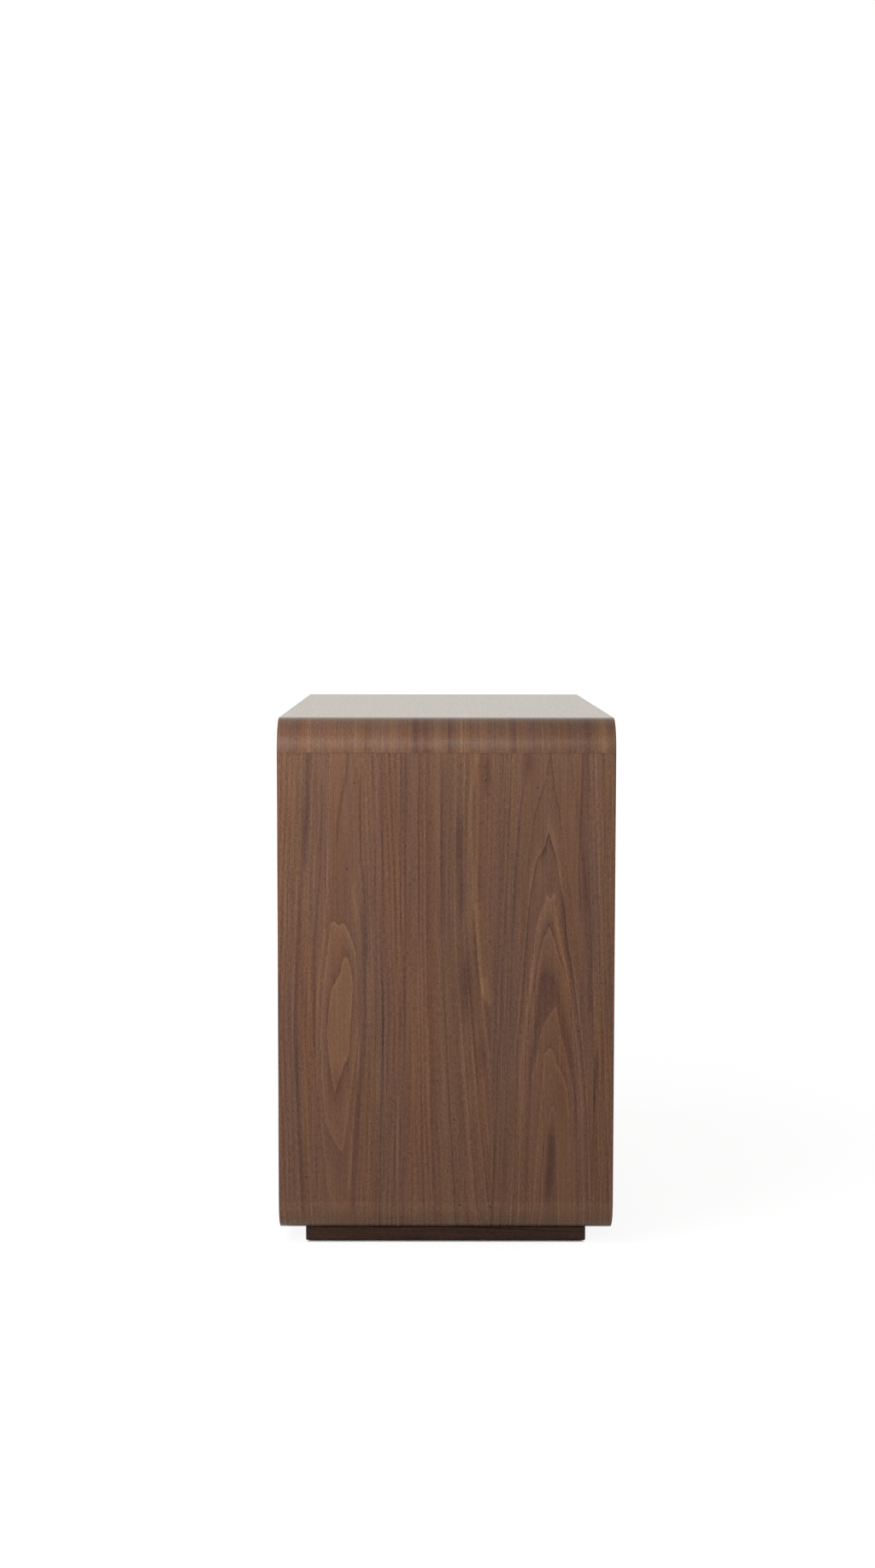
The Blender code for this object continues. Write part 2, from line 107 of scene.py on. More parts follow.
def eased_loop(corners, radii, spacings, inset=0.0, steps=4):
    """A closed outline, counter-clockwise, whose corners are arcs that meet both sides.

    Each arc's centre is fixed by its radius, so an inset outline shares the centres with smaller arcs.
    Each side longer than its spacing is divided. Also gives the distance travelled round the full
    outline.
    """
    corners = np.array(corners, float)
    spacings = np.broadcast_to(spacings, len(corners))
    radii = np.array(radii, float)[:, None]
    leave = np.roll(corners, -1, axis=0) - corners
    leave /= np.linalg.norm(leave, axis=1)[:, None]
    come = np.roll(leave, 1, axis=0)
    turn = np.arctan2(come[:, 0] * leave[:, 1] - come[:, 1] * leave[:, 0], (come * leave).sum(1))
    start = corners - radii * np.tan(np.abs(turn) / 2)[:, None] * come
    centre = start + radii * np.sign(turn)[:, None] * np.stack([-come[:, 1], come[:, 0]], 1)
    swing = turn[:, None] * np.linspace(0, 1, steps + 1)
    spoke = (start - centre)[:, None]
    arcs = np.stack(
        [
            spoke[..., 0] * np.cos(swing) - spoke[..., 1] * np.sin(swing),
            spoke[..., 0] * np.sin(swing) + spoke[..., 1] * np.cos(swing),
        ],
        -1,
    )
    full = centre[:, None] + arcs
    shrink = np.where(radii > 0, 1 - inset / np.maximum(radii, 1e-9), 1.0)[..., None]
    drawn = centre[:, None] + arcs * shrink
    points, travel, gone = [], [], 0.0
    for i, radius in enumerate(radii[:, 0]):
        last = slice(0, steps) if radius > 0 else slice(0, 0)
        lengths = np.linalg.norm(np.diff(full[i], axis=0), axis=1)
        points.append(drawn[i, last])
        travel.append(gone + np.concatenate([[0], np.cumsum(lengths)])[last])
        gone += lengths.sum()
        after = (i + 1) % len(corners)
        length = np.linalg.norm(full[after, 0] - full[i, -1])
        parts = max(1, math.ceil(length / spacings[i]))
        share = np.arange(parts) / parts
        points.append(drawn[i, -1] + (drawn[after, 0] - drawn[i, -1]) * share[:, None])
        travel.append(gone + length * share)
        gone += length
    return np.concatenate(points), np.append(np.concatenate(travel), gone)


def wrap(grid):
    """Faces that join rings of points, one ring a row, and a cap on each end, all facing outwards.

    Also gives the row and the column of every corner. A closing face has the column after the last one.
    """
    rows, count = grid.shape[:2]
    row, column = np.meshgrid(np.arange(rows - 1), np.arange(count), indexing="ij")
    at_row = np.stack([row, row + 1, row + 1, row], -1)
    at_column = np.stack([column, column, column + 1, column + 1], -1)
    quads = at_row * count + at_column % count
    corners = grid.reshape(-1, 3)[quads]
    normals = np.cross(corners[:, :, 2] - corners[:, :, 0], corners[:, :, 3] - corners[:, :, 1])
    first = np.arange(count)
    caps = np.stack([first[::-1], (rows - 1) * count + first])
    if (normals * (corners.mean(2) - grid.mean((0, 1)))).sum() < 0:
        quads, at_row, at_column, caps = (each[..., ::-1] for each in (quads, at_row, at_column, caps))
    return quads, at_row, at_column, caps


def skin(name, grid, across, along, figure):
    """A closed veneered body from rings of points, one ring a row. Its caps take the second material.

    Every face corner carries where it lies along the grain, and what the figure gives there: the place
    across the grain, the growth ring and its width, the tone, how clear the ring lines are and how warm
    the hue is.
    """
    quads, at_row, at_column, caps = wrap(grid)
    across_at, along_at = across[at_column], along[at_row]
    values = {"warm": 0.0, "along": along_at}
    values.update(figure(across_at, along_at, across_at.mean(-1, keepdims=True)))
    mesh = bpy.data.meshes.new(name)
    mesh.from_pydata(grid.reshape(-1, 3).tolist(), [], quads.reshape(-1, 4).tolist() + caps.tolist())
    mesh.polygons.foreach_set("material_index", np.repeat([0, 1], [quads.size // 4, 2]))
    for label, value in values.items():
        whole = np.broadcast_to(value, along_at.shape).ravel()
        padded = np.concatenate([whole, np.zeros(caps.size)]).astype(np.float32)
        mesh.attributes.new(label, "FLOAT", "CORNER").data.foreach_set("value", padded)
    return place_mesh(name, mesh)


def add_object(name, data):
    made = bpy.data.objects.new(name, data)
    bpy.context.scene.collection.objects.link(made)
    return made


def place_mesh(name, mesh):
    mesh.validate()
    mesh.shade_smooth()
    mesh.set_sharp_from_angle(angle=SHARP_FROM)
    return add_object(name, mesh)


def finish_piece(piece, materials, body, slot, *nodes):
    """Gives a piece its finishes, the body it moves with and the solids that it stands for; slot is not
    used.
    """
    piece.data.materials.clear()
    for material in materials:
        piece.data.materials.append(material)
    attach(piece, body)
    if nodes:
        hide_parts(*nodes)


def case_panel(name, start, end, figure, along_from, face_step=FACE_STEP, along_step=ALONG_STEP):
    """A stretch of the case wall: its section carried along the case line from start to end.

    The section is the board's edge-on outline with eased arrises and the rebate for the back.
    """
    corners = [
        (WALL, -HALF_DEPTH),
        (WALL, HALF_DEPTH - REBATE_DEPTH),
        (WALL - REBATE_WIDTH, HALF_DEPTH - REBATE_DEPTH),
        (WALL - REBATE_WIDTH, HALF_DEPTH),
        (0, HALF_DEPTH),
        (0, -HALF_DEPTH),
    ]
    spacings = [HIDDEN_STEP] * 4 + [face_step, 2 * face_step]
    loop, travel = eased_loop(corners, (ARRIS, 0, 0, 0, ARRIS, ARRIS), spacings)
    outer_middle = travel[:-1][loop[:, 0] < 1e-7][[0, -1]].mean()
    bends = [FLAT, FLAT + QUARTER, FLAT + QUARTER + DROP, FLAT + 2 * QUARTER + DROP]
    bends = np.array([b for pair in (bends[:2], bends[2:]) for b in np.linspace(*pair, BEND_STEPS + 1)])
    bends = np.concatenate([bends, -bends, 2 * HALF_ROUND - bends])
    even = np.linspace(start, end, math.ceil((end - start) / along_step) + 1)
    stops = np.unique(np.round(np.concatenate([even, bends[(bends > start) & (bends < end)]]), 6))
    x, z, out_x, out_z = case_line(stops)
    deep = loop[:, 0]
    grid = np.stack(
        [
            x[:, None] - deep * out_x[:, None],
            np.broadcast_to(loop[:, 1], (len(stops), len(loop))),
            z[:, None] - deep * out_z[:, None],
        ],
        -1,
    )
    return skin(name, grid, -(travel - outer_middle), stops - along_from, figure)


def dabs(across, along, marks):
    """Darker and lighter dabs: a sum of bell curves.

    Each has its place across and along, its half width, its half length and its strength.
    """
    total = np.zeros(np.broadcast(across, along).shape)
    for at_across, at_along, wide, long, strength in marks:
        total += strength * np.exp(-(((across - at_across) / wide) ** 2) - ((along - at_along) / long) ** 2)
    return total


# Dark and light stripes of the quarter-cut top: across the grain, half width, strength
TOP_STRIPES = (
    (-0.213, 0.005, -0.09),
    (-0.197, 0.006, 0.07),
    (-0.112, 0.004, -0.06),
    (-0.076, 0.006, 0.09),
    (-0.0405, 0.005, -0.22),
    (-0.0268, 0.004, -0.18),
    (-0.009, 0.005, 0.09),
    (0.009, 0.004, -0.18),
    (0.027, 0.006, 0.13),
    (0.0546, 0.006, 0.08),
    (0.101, 0.006, -0.12),
    (0.130, 0.006, -0.12),
    (0.183, 0.005, -0.05),
    (0.210, 0.005, -0.20),
    (0.2325, 0.006, 0.22),
)


def top_figure(across, along, leaf):
    """Straight grain: rings that lean a little and stand unevenly apart, with stripes that follow them.

    A painted sheen makes the lower half of each bend a little paler.
    """
    lean = across + TOP_SWAY * np.sin(2.1 * along + 0.4)
    uneven = 0.35 * np.sin(170 * lean) + 0.30 * np.sin(67 * lean + 1)
    marks = [(at, STRIPE_MIDDLE, wide, STRIPE_REACH, strength) for at, wide, strength in TOP_STRIPES]
    # Painted sheen: a share that rises over the lower half of each bend
    painted_light = np.clip((np.abs(along) - FLAT - 0.5 * QUARTER) / (0.25 * QUARTER), 0, 1)
    return {
        "ring": lean / RING_PITCH + uneven,
        "wide": TOP_RING_WIDE,
        "tone": dabs(lean, along, marks) + TOP_PAINTED_SHEEN * painted_light + TOP_TONE,
        "across": lean,
        "line": TOP_LINE,
        "warm": TOP_WARMTH,
    }


def feed(tree, node, inputs):
    """Links a node's inputs to sockets, or sets them to values."""
    for key, value in inputs.items():
        if isinstance(value, bpy.types.NodeSocket):
            tree.links.new(value, node.inputs[key])
        else:
            node.inputs[key].default_value = value


def add_node(tree, kind, inputs=None, **settings):
    """Adds a shader node with its settings, and feeds its inputs."""
    made = tree.nodes.new(kind)
    for key, value in settings.items():
        setattr(made, key, value)
    feed(tree, made, inputs or {})
    return made


def calc(tree, operation, a, b=0.0, c=0.0):
    return add_node(tree, "ShaderNodeMath", {0: a, 1: b, 2: c}, operation=operation).outputs[0]


def pile(tree, base, *parts):
    """Adds parts to a value, each given as a value and its share."""
    for part, share in parts:
        base = calc(tree, "MULTIPLY_ADD", part, share, base)
    return base


def part_way(tree, value, low, high, kind="SMOOTHSTEP"):
    """How far a value has gone from low to high, from 0 to 1."""
    ends = {"Value": value, "From Min": low, "From Max": high}
    return add_node(tree, "ShaderNodeMapRange", ends, interpolation_type=kind).outputs[0]


def mix(tree, colour, other, factor=1.0, blend="MULTIPLY"):
    """A colour multiplied by another one, or blended with it."""
    ends = {"Factor": factor, 6: colour, 7: other}
    return add_node(tree, "ShaderNodeMix", ends, data_type="RGBA", blend_type=blend).outputs[2]


def point(tree, *parts):
    return add_node(tree, "ShaderNodeCombineXYZ", dict(enumerate(parts))).outputs[0]


def object_place(tree):
    return add_node(tree, "ShaderNodeTexCoord").outputs["Object"]


def axes_of(tree, place):
    return add_node(tree, "ShaderNodeSeparateXYZ", {0: place}).outputs


def stretch(tree, place, scales):
    return add_node(tree, "ShaderNodeVectorMath", {0: place, 1: scales}, operation="MULTIPLY").outputs[0]


def noise(tree, plane, across_scale, along_scale, detail=2.0):
    """Noise drawn out along the grain, as a value that sways about zero."""
    scaled = stretch(tree, plane, (across_scale, along_scale, 1.0))
    made = add_node(tree, "ShaderNodeTexNoise", {"Vector": scaled, "Scale": 1.0, "Detail": detail})
    return calc(tree, "SUBTRACT", made.outputs["Fac"], 0.5)


def shade_of(red, green, blue):
    """A colour picked on a screen, 0 to 255, as the linear light that a shader takes."""
    screen = np.array([red, green, blue]) / 255
    return (*np.where(screen > 0.04045, ((screen + 0.055) / 1.055) ** 2.4, screen / 12.92), 1.0)


def ramp(tree, factor, stops):
    made = add_node(tree, "ShaderNodeValToRGB", {"Fac": factor})
    made.color_ramp.elements.remove(made.color_ramp.elements[1])
    made.color_ramp.elements[0].position = stops[0][0]
    made.color_ramp.elements[0].color = stops[0][1]
    for position, colour in stops[1:]:
        made.color_ramp.elements.new(position).color = colour
    return made.outputs["Color"]


WALNUT_SHADES = (
    (0.00, shade_of(57, 38, 30)),
    (0.25, shade_of(81, 56, 43)),
    (0.50, shade_of(103, 73, 55)),
    (0.75, shade_of(125, 91, 69)),
    (1.00, shade_of(145, 110, 85)),
)
LEAN_HUES = ((0.25, (0.978, 1.006, 0.920, 1.0)), (0.75, (1.022, 0.994, 1.080, 1.0)))
HEAT_HUES = (
    (0.3, (0.97, 1.00, 1.10, 1.0)),
    (0.7, (1.07, 0.98, 0.88, 1.0)),
    (1.2, (1.08, 0.95, 0.76, 1.0)),
)

# What the walnut group takes: the growth ring and its width, the place across and along the grain, the tone,
# how clear the ring lines are and how warm the hue is
LEAF_FIELDS = ("Ring", "Wide", "Across", "Along", "Tone", "Line", "Warm")
WALNUT_GIVES = {"Color": "NodeSocketColor", "Roughness": "NodeSocketFloat", "Height": "NodeSocketFloat"}

# How far a ring's marks reach into it: the rise and the fall of its line, the fade after that, and the pale
# edge before the next ring. Rings wider than the tight one are calmer
LINE_RISE = 0.0012
LINE_FALL = (0.0052, 0.0010)
FADE_REACH = 0.016
DUSK_REACH = 0.004
TIGHT_RING = 0.010
GRAIN_WANDER = 0.004


def make_walnut_group():
    """Walnut from a growth-ring number, under fibres and pores.

    Where Line is above zero each ring starts with a dark line and pales to its end, and below zero it
    starts with a pale rim and darkens. Between the lines the shade wanders with the ring number, less where
    the rings are wide. Darker wood leans to mauve and paler wood to olive.
    """
    group = bpy.data.node_groups.new("walnut_figure", "ShaderNodeTree")
    for label in LEAF_FIELDS:
        group.interface.new_socket(label, in_out="INPUT", socket_type="NodeSocketFloat")
    for label, kind in WALNUT_GIVES.items():
        group.interface.new_socket(label, in_out="OUTPUT", socket_type=kind)
    given = group.nodes.new("NodeGroupInput").outputs
    start, wide, across, along, tone, clear, warm = (given[label] for label in LEAF_FIELDS)
    wander = noise(group, point(group, across, along), 11, 9)
    plane = point(group, pile(group, across, (wander, GRAIN_WANDER)), along)

    # The ring's own marks, which chance makes stronger or weaker from ring to ring
    tight = calc(group, "MINIMUM", calc(group, "DIVIDE", TIGHT_RING, wide), 1.0)
    sway = pile(group, 0.0, (noise(group, plane, 16, 5), 0.36), (noise(group, plane, 95, 30), 0.14))
    ring = pile(group, start, (sway, tight))
    inside = calc(group, "MULTIPLY", calc(group, "FRACT", ring), wide)
    rise = part_way(group, inside, 0.0, LINE_RISE)
    fall = part_way(group, inside, *LINE_FALL)
    fade = part_way(group, inside, FADE_REACH, 0.0)
    dusk = part_way(group, calc(group, "SUBTRACT", wide, inside), DUSK_REACH, 0.0)
    number = calc(group, "FLOOR", ring)
    chance = add_node(group, "ShaderNodeTexWhiteNoise", {"W": number}, noise_dimensions="1D").outputs
    second = add_node(group, "ShaderNodeSeparateColor", {0: chance["Color"]}).outputs[1]
    fade = calc(group, "MULTIPLY", fade, pile(group, 0.2, (second, 0.8)))
    broken = calc(group, "MAXIMUM", pile(group, 0.9, (noise(group, plane, 45, 7), 2.2)), 0.1)
    line = rise
    for factor in (fall, pile(group, 0.5, (chance["Value"], 0.5)), broken):
        line = calc(group, "MULTIPLY", line, factor)
    mark = pile(group, 0.0, (fade, -0.14), (line, -0.40), (dusk, 0.15))

    # Bands that go with the ring number, then fibres, flecks, pores and a few pin knots
    bands = {"W": calc(group, "MULTIPLY", ring, 1.7), "Scale": 1.0, "Detail": 4.0, "Roughness": 0.6}
    band = add_node(group, "ShaderNodeTexNoise", bands, noise_dimensions="1D").outputs["Fac"]
    band = calc(group, "MULTIPLY", calc(group, "SUBTRACT", band, 0.5), tight)
    coarse = pile(group, 0.60, (tight, 0.55))
    fibre, fleck, speck = (
        calc(group, "MULTIPLY", noise(group, plane, *scales), coarse)
        for scales in ((330, 7, 3.0), (560, 120, 1.0), (640, 330, 1.0))
    )
    pore = part_way(group, noise(group, plane, 900, 110, 0.0), 0.12, 0.24, "LINEAR")
    knot = add_node(group, "ShaderNodeTexVoronoi", {"Vector": plane, "Scale": 15.0}, voronoi_dimensions="2D")
    pin = part_way(group, knot.outputs["Distance"], 0.030, 0.012, "LINEAR")
    chosen = add_node(group, "ShaderNodeSeparateColor", {0: knot.outputs["Color"]}).outputs[0]
    pin = calc(group, "MULTIPLY", pin, calc(group, "GREATER_THAN", chosen, 0.80))
    shade = pile(
        group,
        calc(group, "ADD", tone, 0.5),
        (mark, clear),
        (band, 0.38),
        (noise(group, plane, 9, 1.8), 0.18),
        (fibre, 0.43),
        (fleck, 0.34),
        (speck, 0.46),
        (pore, -0.10),
        (pin, -0.40),
    )

    # Two shifts of hue over the shade: mauve to olive, and cool to warm
    lean = pile(group, 0.5, (noise(group, plane, 26, 1.2), 1.0), (tone, -1.3), (band, -0.5))
    heat = pile(group, 0.5, (noise(group, plane, 30, 1.4), 1.0), (warm, 1.0))
    colour = ramp(group, shade, WALNUT_SHADES)
    for factor, hues in ((lean, LEAN_HUES), (heat, HEAT_HUES)):
        colour = mix(group, colour, ramp(group, factor, hues))
    rough = pile(group, 0.17, (fibre, 0.05), (pore, 0.08))
    height = pile(group, fibre, (pore, -0.7))
    add_node(group, "NodeGroupOutput", {"Color": colour, "Roughness": rough, "Height": height})
    return group


WALNUT_GROUP = make_walnut_group()


def new_material(name):
    material = bpy.data.materials.new(name)
    material.use_nodes = True
    return material, material.node_tree, material.node_tree.nodes["Principled BSDF"]


def dress_in_walnut(tree, shader, places, lacquer=LACQUER):
    """Feeds the walnut group from where a point lies on the veneer, and the shader from the group."""
    wood = add_node(tree, "ShaderNodeGroup", places, node_tree=WALNUT_GROUP).outputs
    swell = {"Height": wood["Height"], "Strength": GRAIN_BUMP, "Distance": GRAIN_DEPTH}
    normal = add_node(tree, "ShaderNodeBump", swell).outputs["Normal"]
    feed(tree, shader, {"Base Color": wood["Color"], "Roughness": wood["Roughness"], "Normal": normal})
    feed(tree, shader, {"Specular IOR Level": lacquer})
    return wood["Color"]


def leaf_places(tree):
    """What a leaf's face corners carry, by the name of the walnut group's input."""
    return {
        label: add_node(tree, "ShaderNodeAttribute", attribute_name=label.lower()).outputs["Fac"]
        for label in LEAF_FIELDS
    }


def make_veneer(name):
    """Lacquered walnut veneer that follows the leaf's own grain."""
    material, tree, shader = new_material(name)
    dress_in_walnut(tree, shader, leaf_places(tree))
    return material


def make_plain_walnut(name, grain, tone, start):
    """Straight-grained walnut by place: the grain runs along one axis and the rings step across the others.

    The step between rings and the tone drift slowly, most across the grain.
    """
    material, tree, shader = new_material(name)
    axes = axes_of(tree, object_place(tree))
    across = calc(tree, "ADD", *(axis for label, axis in zip("XYZ", axes) if label != grain))
    along = axes["XYZ".index(grain)]
    plane = point(tree, across, along)
    places = {
        "Ring": pile(tree, start, (across, 1 / RING_PITCH), (noise(tree, plane, 14, 1.1), 7.0)),
        "Wide": RING_PITCH,
        "Across": across,
        "Along": along,
        "Tone": pile(tree, tone, (noise(tree, plane, 7, 0.5), 0.35)),
        "Line": PLAIN_LINE,
    }
    dress_in_walnut(tree, shader, places)
    return material


VENEER = [make_veneer("walnut_veneer_lacquered"), make_plain_walnut("walnut_edging", "Z", 0.0, 5.0)]
TOP_REACH = FLAT + QUARTER + SEAM_DROP
waterfall_top = case_panel("waterfall_top", -TOP_REACH, TOP_REACH, top_figure, 0.0)
finish_piece(waterfall_top, VENEER, "case", "walnut_veneer", "case_top")

# End panels
# Veneered boards with upright grain, each laid up from three leaves: one cut near the heart with an oval,
# one that fans out round a tongue and one with a cathedral. Their lower edge bends under the case.

SEAM_GAP = 0.0001
BEND_LAP = 0.0015
END_FACE_STEP = 0.0014
END_ALONG_STEP = 0.0033
LEAF_EDGES = (-0.056, 0.0647)
FAN_START = 20
ARCH_START = 40
LEFT_START = 140
STREAK_FADE = 0.03
TONGUE_FADE = 0.003
# Painted light from the floor below: where it starts on the lower bend, how it spreads, how much paler and
# cooler
BEND_LINE = 0.071
BEND_STEP = 0.002
BEND_SPREAD = 0.016
BEND_PAINTED_LIGHT = 0.08
BEND_PAINTED_COOL_LIGHT = 0.10
TANGENT_HEIGHT = top_high.z - BEND_RADIUS
SEAM_HEIGHT = TANGENT_HEIGHT - SEAM_DROP
SEAM_SHADE = 0.085
SEAM_SHOWS = 0.003
# A painted sheen below the seam: how much paler it makes the head, how far down it reaches, how much cooler
HEAD_PAINTED_SHEEN = 0.055
HEAD_LASTS = 0.080
HEAD_PAINTED_COOL_SHEEN = 0.09
STEEP = 25.0
FLANK = 0.20
OVAL_LASTS = 10.0
ARCH_LASTS = 0.22
LINE_LASTS = 0.20
LINE_KEEPS = 0.3
OUTER_LINE = 0.2
FAN_LINE = 0.35
NARROWEST_RING = 0.004
WIDEST_RING = 0.08

# The heart-cut leaf: outlines of its rings from the outermost in. Each has a top edge and a foot as points
# of (across, height), the tones just inside it and next to the following outline, and its line, dark above
# zero and pale below
OVALS = (
    (((-0.193, 0.34), (-0.189, 0.4), (-0.182, 0.46), (-0.179, 0.48), (-0.1765, 0.54), (-0.1725, 0.66),
      (-0.17, 0.735), (-0.16, 0.8), (-0.1395, 0.8), (-0.1388, 0.56), (-0.135, 0.53), (-0.127, 0.5),
      (-0.1245, 0.48), (-0.1225, 0.36)),
     ((-0.193, 0.32), (-0.19, 0.24), (-0.185, 0.18), (-0.179, 0.12), (-0.173, 0.08), (-0.166, 0.066),
      (-0.153, 0.055), (-0.146, 0.07), (-0.141, 0.1), (-0.135, 0.2), (-0.129, 0.26), (-0.1225, 0.34)),
     0.02, -0.1, -0.5),
    (((-0.185, 0.33), (-0.181, 0.4), (-0.175, 0.44), (-0.17, 0.48), (-0.1685, 0.489), (-0.163, 0.489),
      (-0.157, 0.483), (-0.152, 0.487), (-0.149, 0.485), (-0.143, 0.475), (-0.136, 0.455),
      (-0.133, 0.445), (-0.1315, 0.42), (-0.13, 0.33)),
     ((-0.185, 0.31), (-0.183, 0.24), (-0.178, 0.19), (-0.172, 0.174), (-0.161, 0.155), (-0.155, 0.147),
      (-0.152, 0.148), (-0.148, 0.17), (-0.144, 0.2), (-0.134, 0.28), (-0.13, 0.32)),
     0.05, -0.13, -0.5),
    (((-0.1755, 0.33), (-0.1715, 0.37), (-0.168, 0.39), (-0.157, 0.41), (-0.151, 0.435), (-0.148, 0.4385),
      (-0.144, 0.435), (-0.14, 0.42), (-0.137, 0.4)),
     ((-0.1755, 0.32), (-0.172, 0.28), (-0.166, 0.24), (-0.164, 0.232), (-0.159, 0.25), (-0.149, 0.28),
      (-0.145, 0.285), (-0.1425, 0.3), (-0.1405, 0.34), (-0.137, 0.385)),
     0.09, 0.07, -0.35),
)

# The cathedral leaf: its arches from the outermost in, each with a top edge and no foot
ARCHES = (
    (((0.092, 0.1), (0.097, 0.3), (0.104, 0.4), (0.11, 0.5), (0.115, 0.56), (0.1215, 0.6), (0.126, 0.64),
      (0.137, 0.68), (0.143, 0.7), (0.149, 0.735), (0.1515, 0.76), (0.154, 0.735), (0.16, 0.68),
      (0.165, 0.66), (0.173, 0.6), (0.178, 0.56), (0.187, 0.5), (0.2, 0.4), (0.211, 0.3), (0.217, 0.1)),
     None, 0.02, 0.03, 1.0),
    (((0.1, 0.1), (0.103, 0.3), (0.112, 0.4), (0.119, 0.5), (0.122, 0.53), (0.129, 0.57), (0.133, 0.585),
      (0.138, 0.59), (0.143, 0.6), (0.147, 0.618), (0.15, 0.626), (0.153, 0.613), (0.161, 0.585),
      (0.1665, 0.55), (0.174, 0.51), (0.179, 0.46), (0.189, 0.4), (0.201, 0.3), (0.209, 0.2),
      (0.211, 0.1)),
     None, 0.02, -0.16, 1.0),
    (((0.106, 0.1), (0.108, 0.28), (0.116, 0.36), (0.127, 0.44), (0.131, 0.48), (0.137, 0.5),
      (0.143, 0.515), (0.1465, 0.529), (0.149, 0.528), (0.152, 0.523), (0.156, 0.53), (0.1595, 0.535),
      (0.1605, 0.51), (0.164, 0.49), (0.172, 0.45), (0.181, 0.4), (0.193, 0.32), (0.198, 0.28),
      (0.204, 0.2), (0.205, 0.1)),
     None, 0.13, -0.28, -0.45),
    (((0.1125, 0.1), (0.114, 0.24), (0.119, 0.32), (0.131, 0.4), (0.137, 0.44), (0.142, 0.465),
      (0.147, 0.472), (0.1505, 0.484), (0.154, 0.475), (0.159, 0.462), (0.1775, 0.4), (0.189, 0.32),
      (0.199, 0.2), (0.2, 0.1)),
     None, 0.05, -0.25, -0.4),
    (((0.1165, 0.1), (0.1195, 0.2), (0.1215, 0.26), (0.127, 0.3), (0.134, 0.36), (0.137, 0.39),
      (0.14, 0.41), (0.145, 0.415), (0.154, 0.409), (0.16, 0.4), (0.171, 0.36), (0.186, 0.28),
      (0.194, 0.2), (0.195, 0.1)),
     None, -0.25, -0.19, 0.15),
    (((0.121, 0.1), (0.1255, 0.2), (0.1265, 0.26), (0.131, 0.28), (0.136, 0.3), (0.138, 0.32),
      (0.145, 0.34), (0.157, 0.36), (0.16, 0.3635), (0.163, 0.36), (0.166, 0.34), (0.169, 0.32),
      (0.175, 0.3), (0.188, 0.24), (0.19, 0.2), (0.191, 0.1)),
     None, 0.02, -0.05, -0.3),
    (((0.13, 0.1), (0.137, 0.2), (0.142, 0.26), (0.1435, 0.28), (0.145, 0.294), (0.149, 0.3),
      (0.153, 0.3015), (0.157, 0.299), (0.161, 0.29), (0.163, 0.28), (0.174, 0.26), (0.179, 0.24),
      (0.183, 0.2), (0.184, 0.1)),
     None, 0.05, 0.04, -0.65),
    (((0.14, 0.1), (0.148, 0.18), (0.151, 0.2), (0.155, 0.214), (0.158, 0.218), (0.161, 0.212),
      (0.163, 0.2), (0.166, 0.16), (0.167, 0.1)),
     None, 0.0, -0.1, -0.5),
)

# The tongued leaf: how much its grain fans out towards the foot, and where rings start
FAN_FROM = 0.50
FAN_MOST = 0.52
FAN_RINGS = (-0.056, -0.041, -0.031, -0.009, 0.003, 0.014, 0.026, 0.047, 0.07)

# Dark and pale dabs of the right-hand panel: across, height, half width, half length, strength
END_MARKS = (
    (0.155, 0.115, 0.008, 0.035, -0.1),
    (0.156, 0.16, 0.004, 0.03, -0.12),
    (0.17, 0.235, 0.008, 0.035, -0.1),
    (0.168, 0.365, 0.006, 0.03, 0.13),
    (0.143, 0.6, 0.004, 0.022, -0.13),
    (0.121, 0.722, 0.008, 0.022, -0.18),
    (0.2, 0.53, 0.007, 0.04, -0.1),
    (-0.1725, 0.345, 0.004, 0.03, -0.1),
    (-0.161, 0.252, 0.007, 0.022, -0.16),
    (-0.0925, 0.33, 0.004, 0.035, -0.08),
    (0.058, 0.71, 0.006, 0.032, -0.25),
    (0.019, 0.61, 0.006, 0.04, -0.23),
    (0.028, 0.4, 0.008, 0.045, -0.23),
    (0.053, 0.29, 0.007, 0.03, -0.12),
    (0.028, 0.3, 0.006, 0.05, 0.08),
    (0.036, 0.225, 0.005, 0.04, 0.15),
    (0.023, 0.53, 0.005, 0.035, -0.2),
    (-0.025, 0.5, 0.01, 0.06, -0.05),
    (-0.038, 0.33, 0.016, 0.1, 0.08),
    (-0.06, 0.64, 0.05, 0.2, -0.05),
    (0.06, 0.7, 0.05, 0.12, 0.05),
    (0.232, 0.64, 0.016, 0.15, 0.05),
)

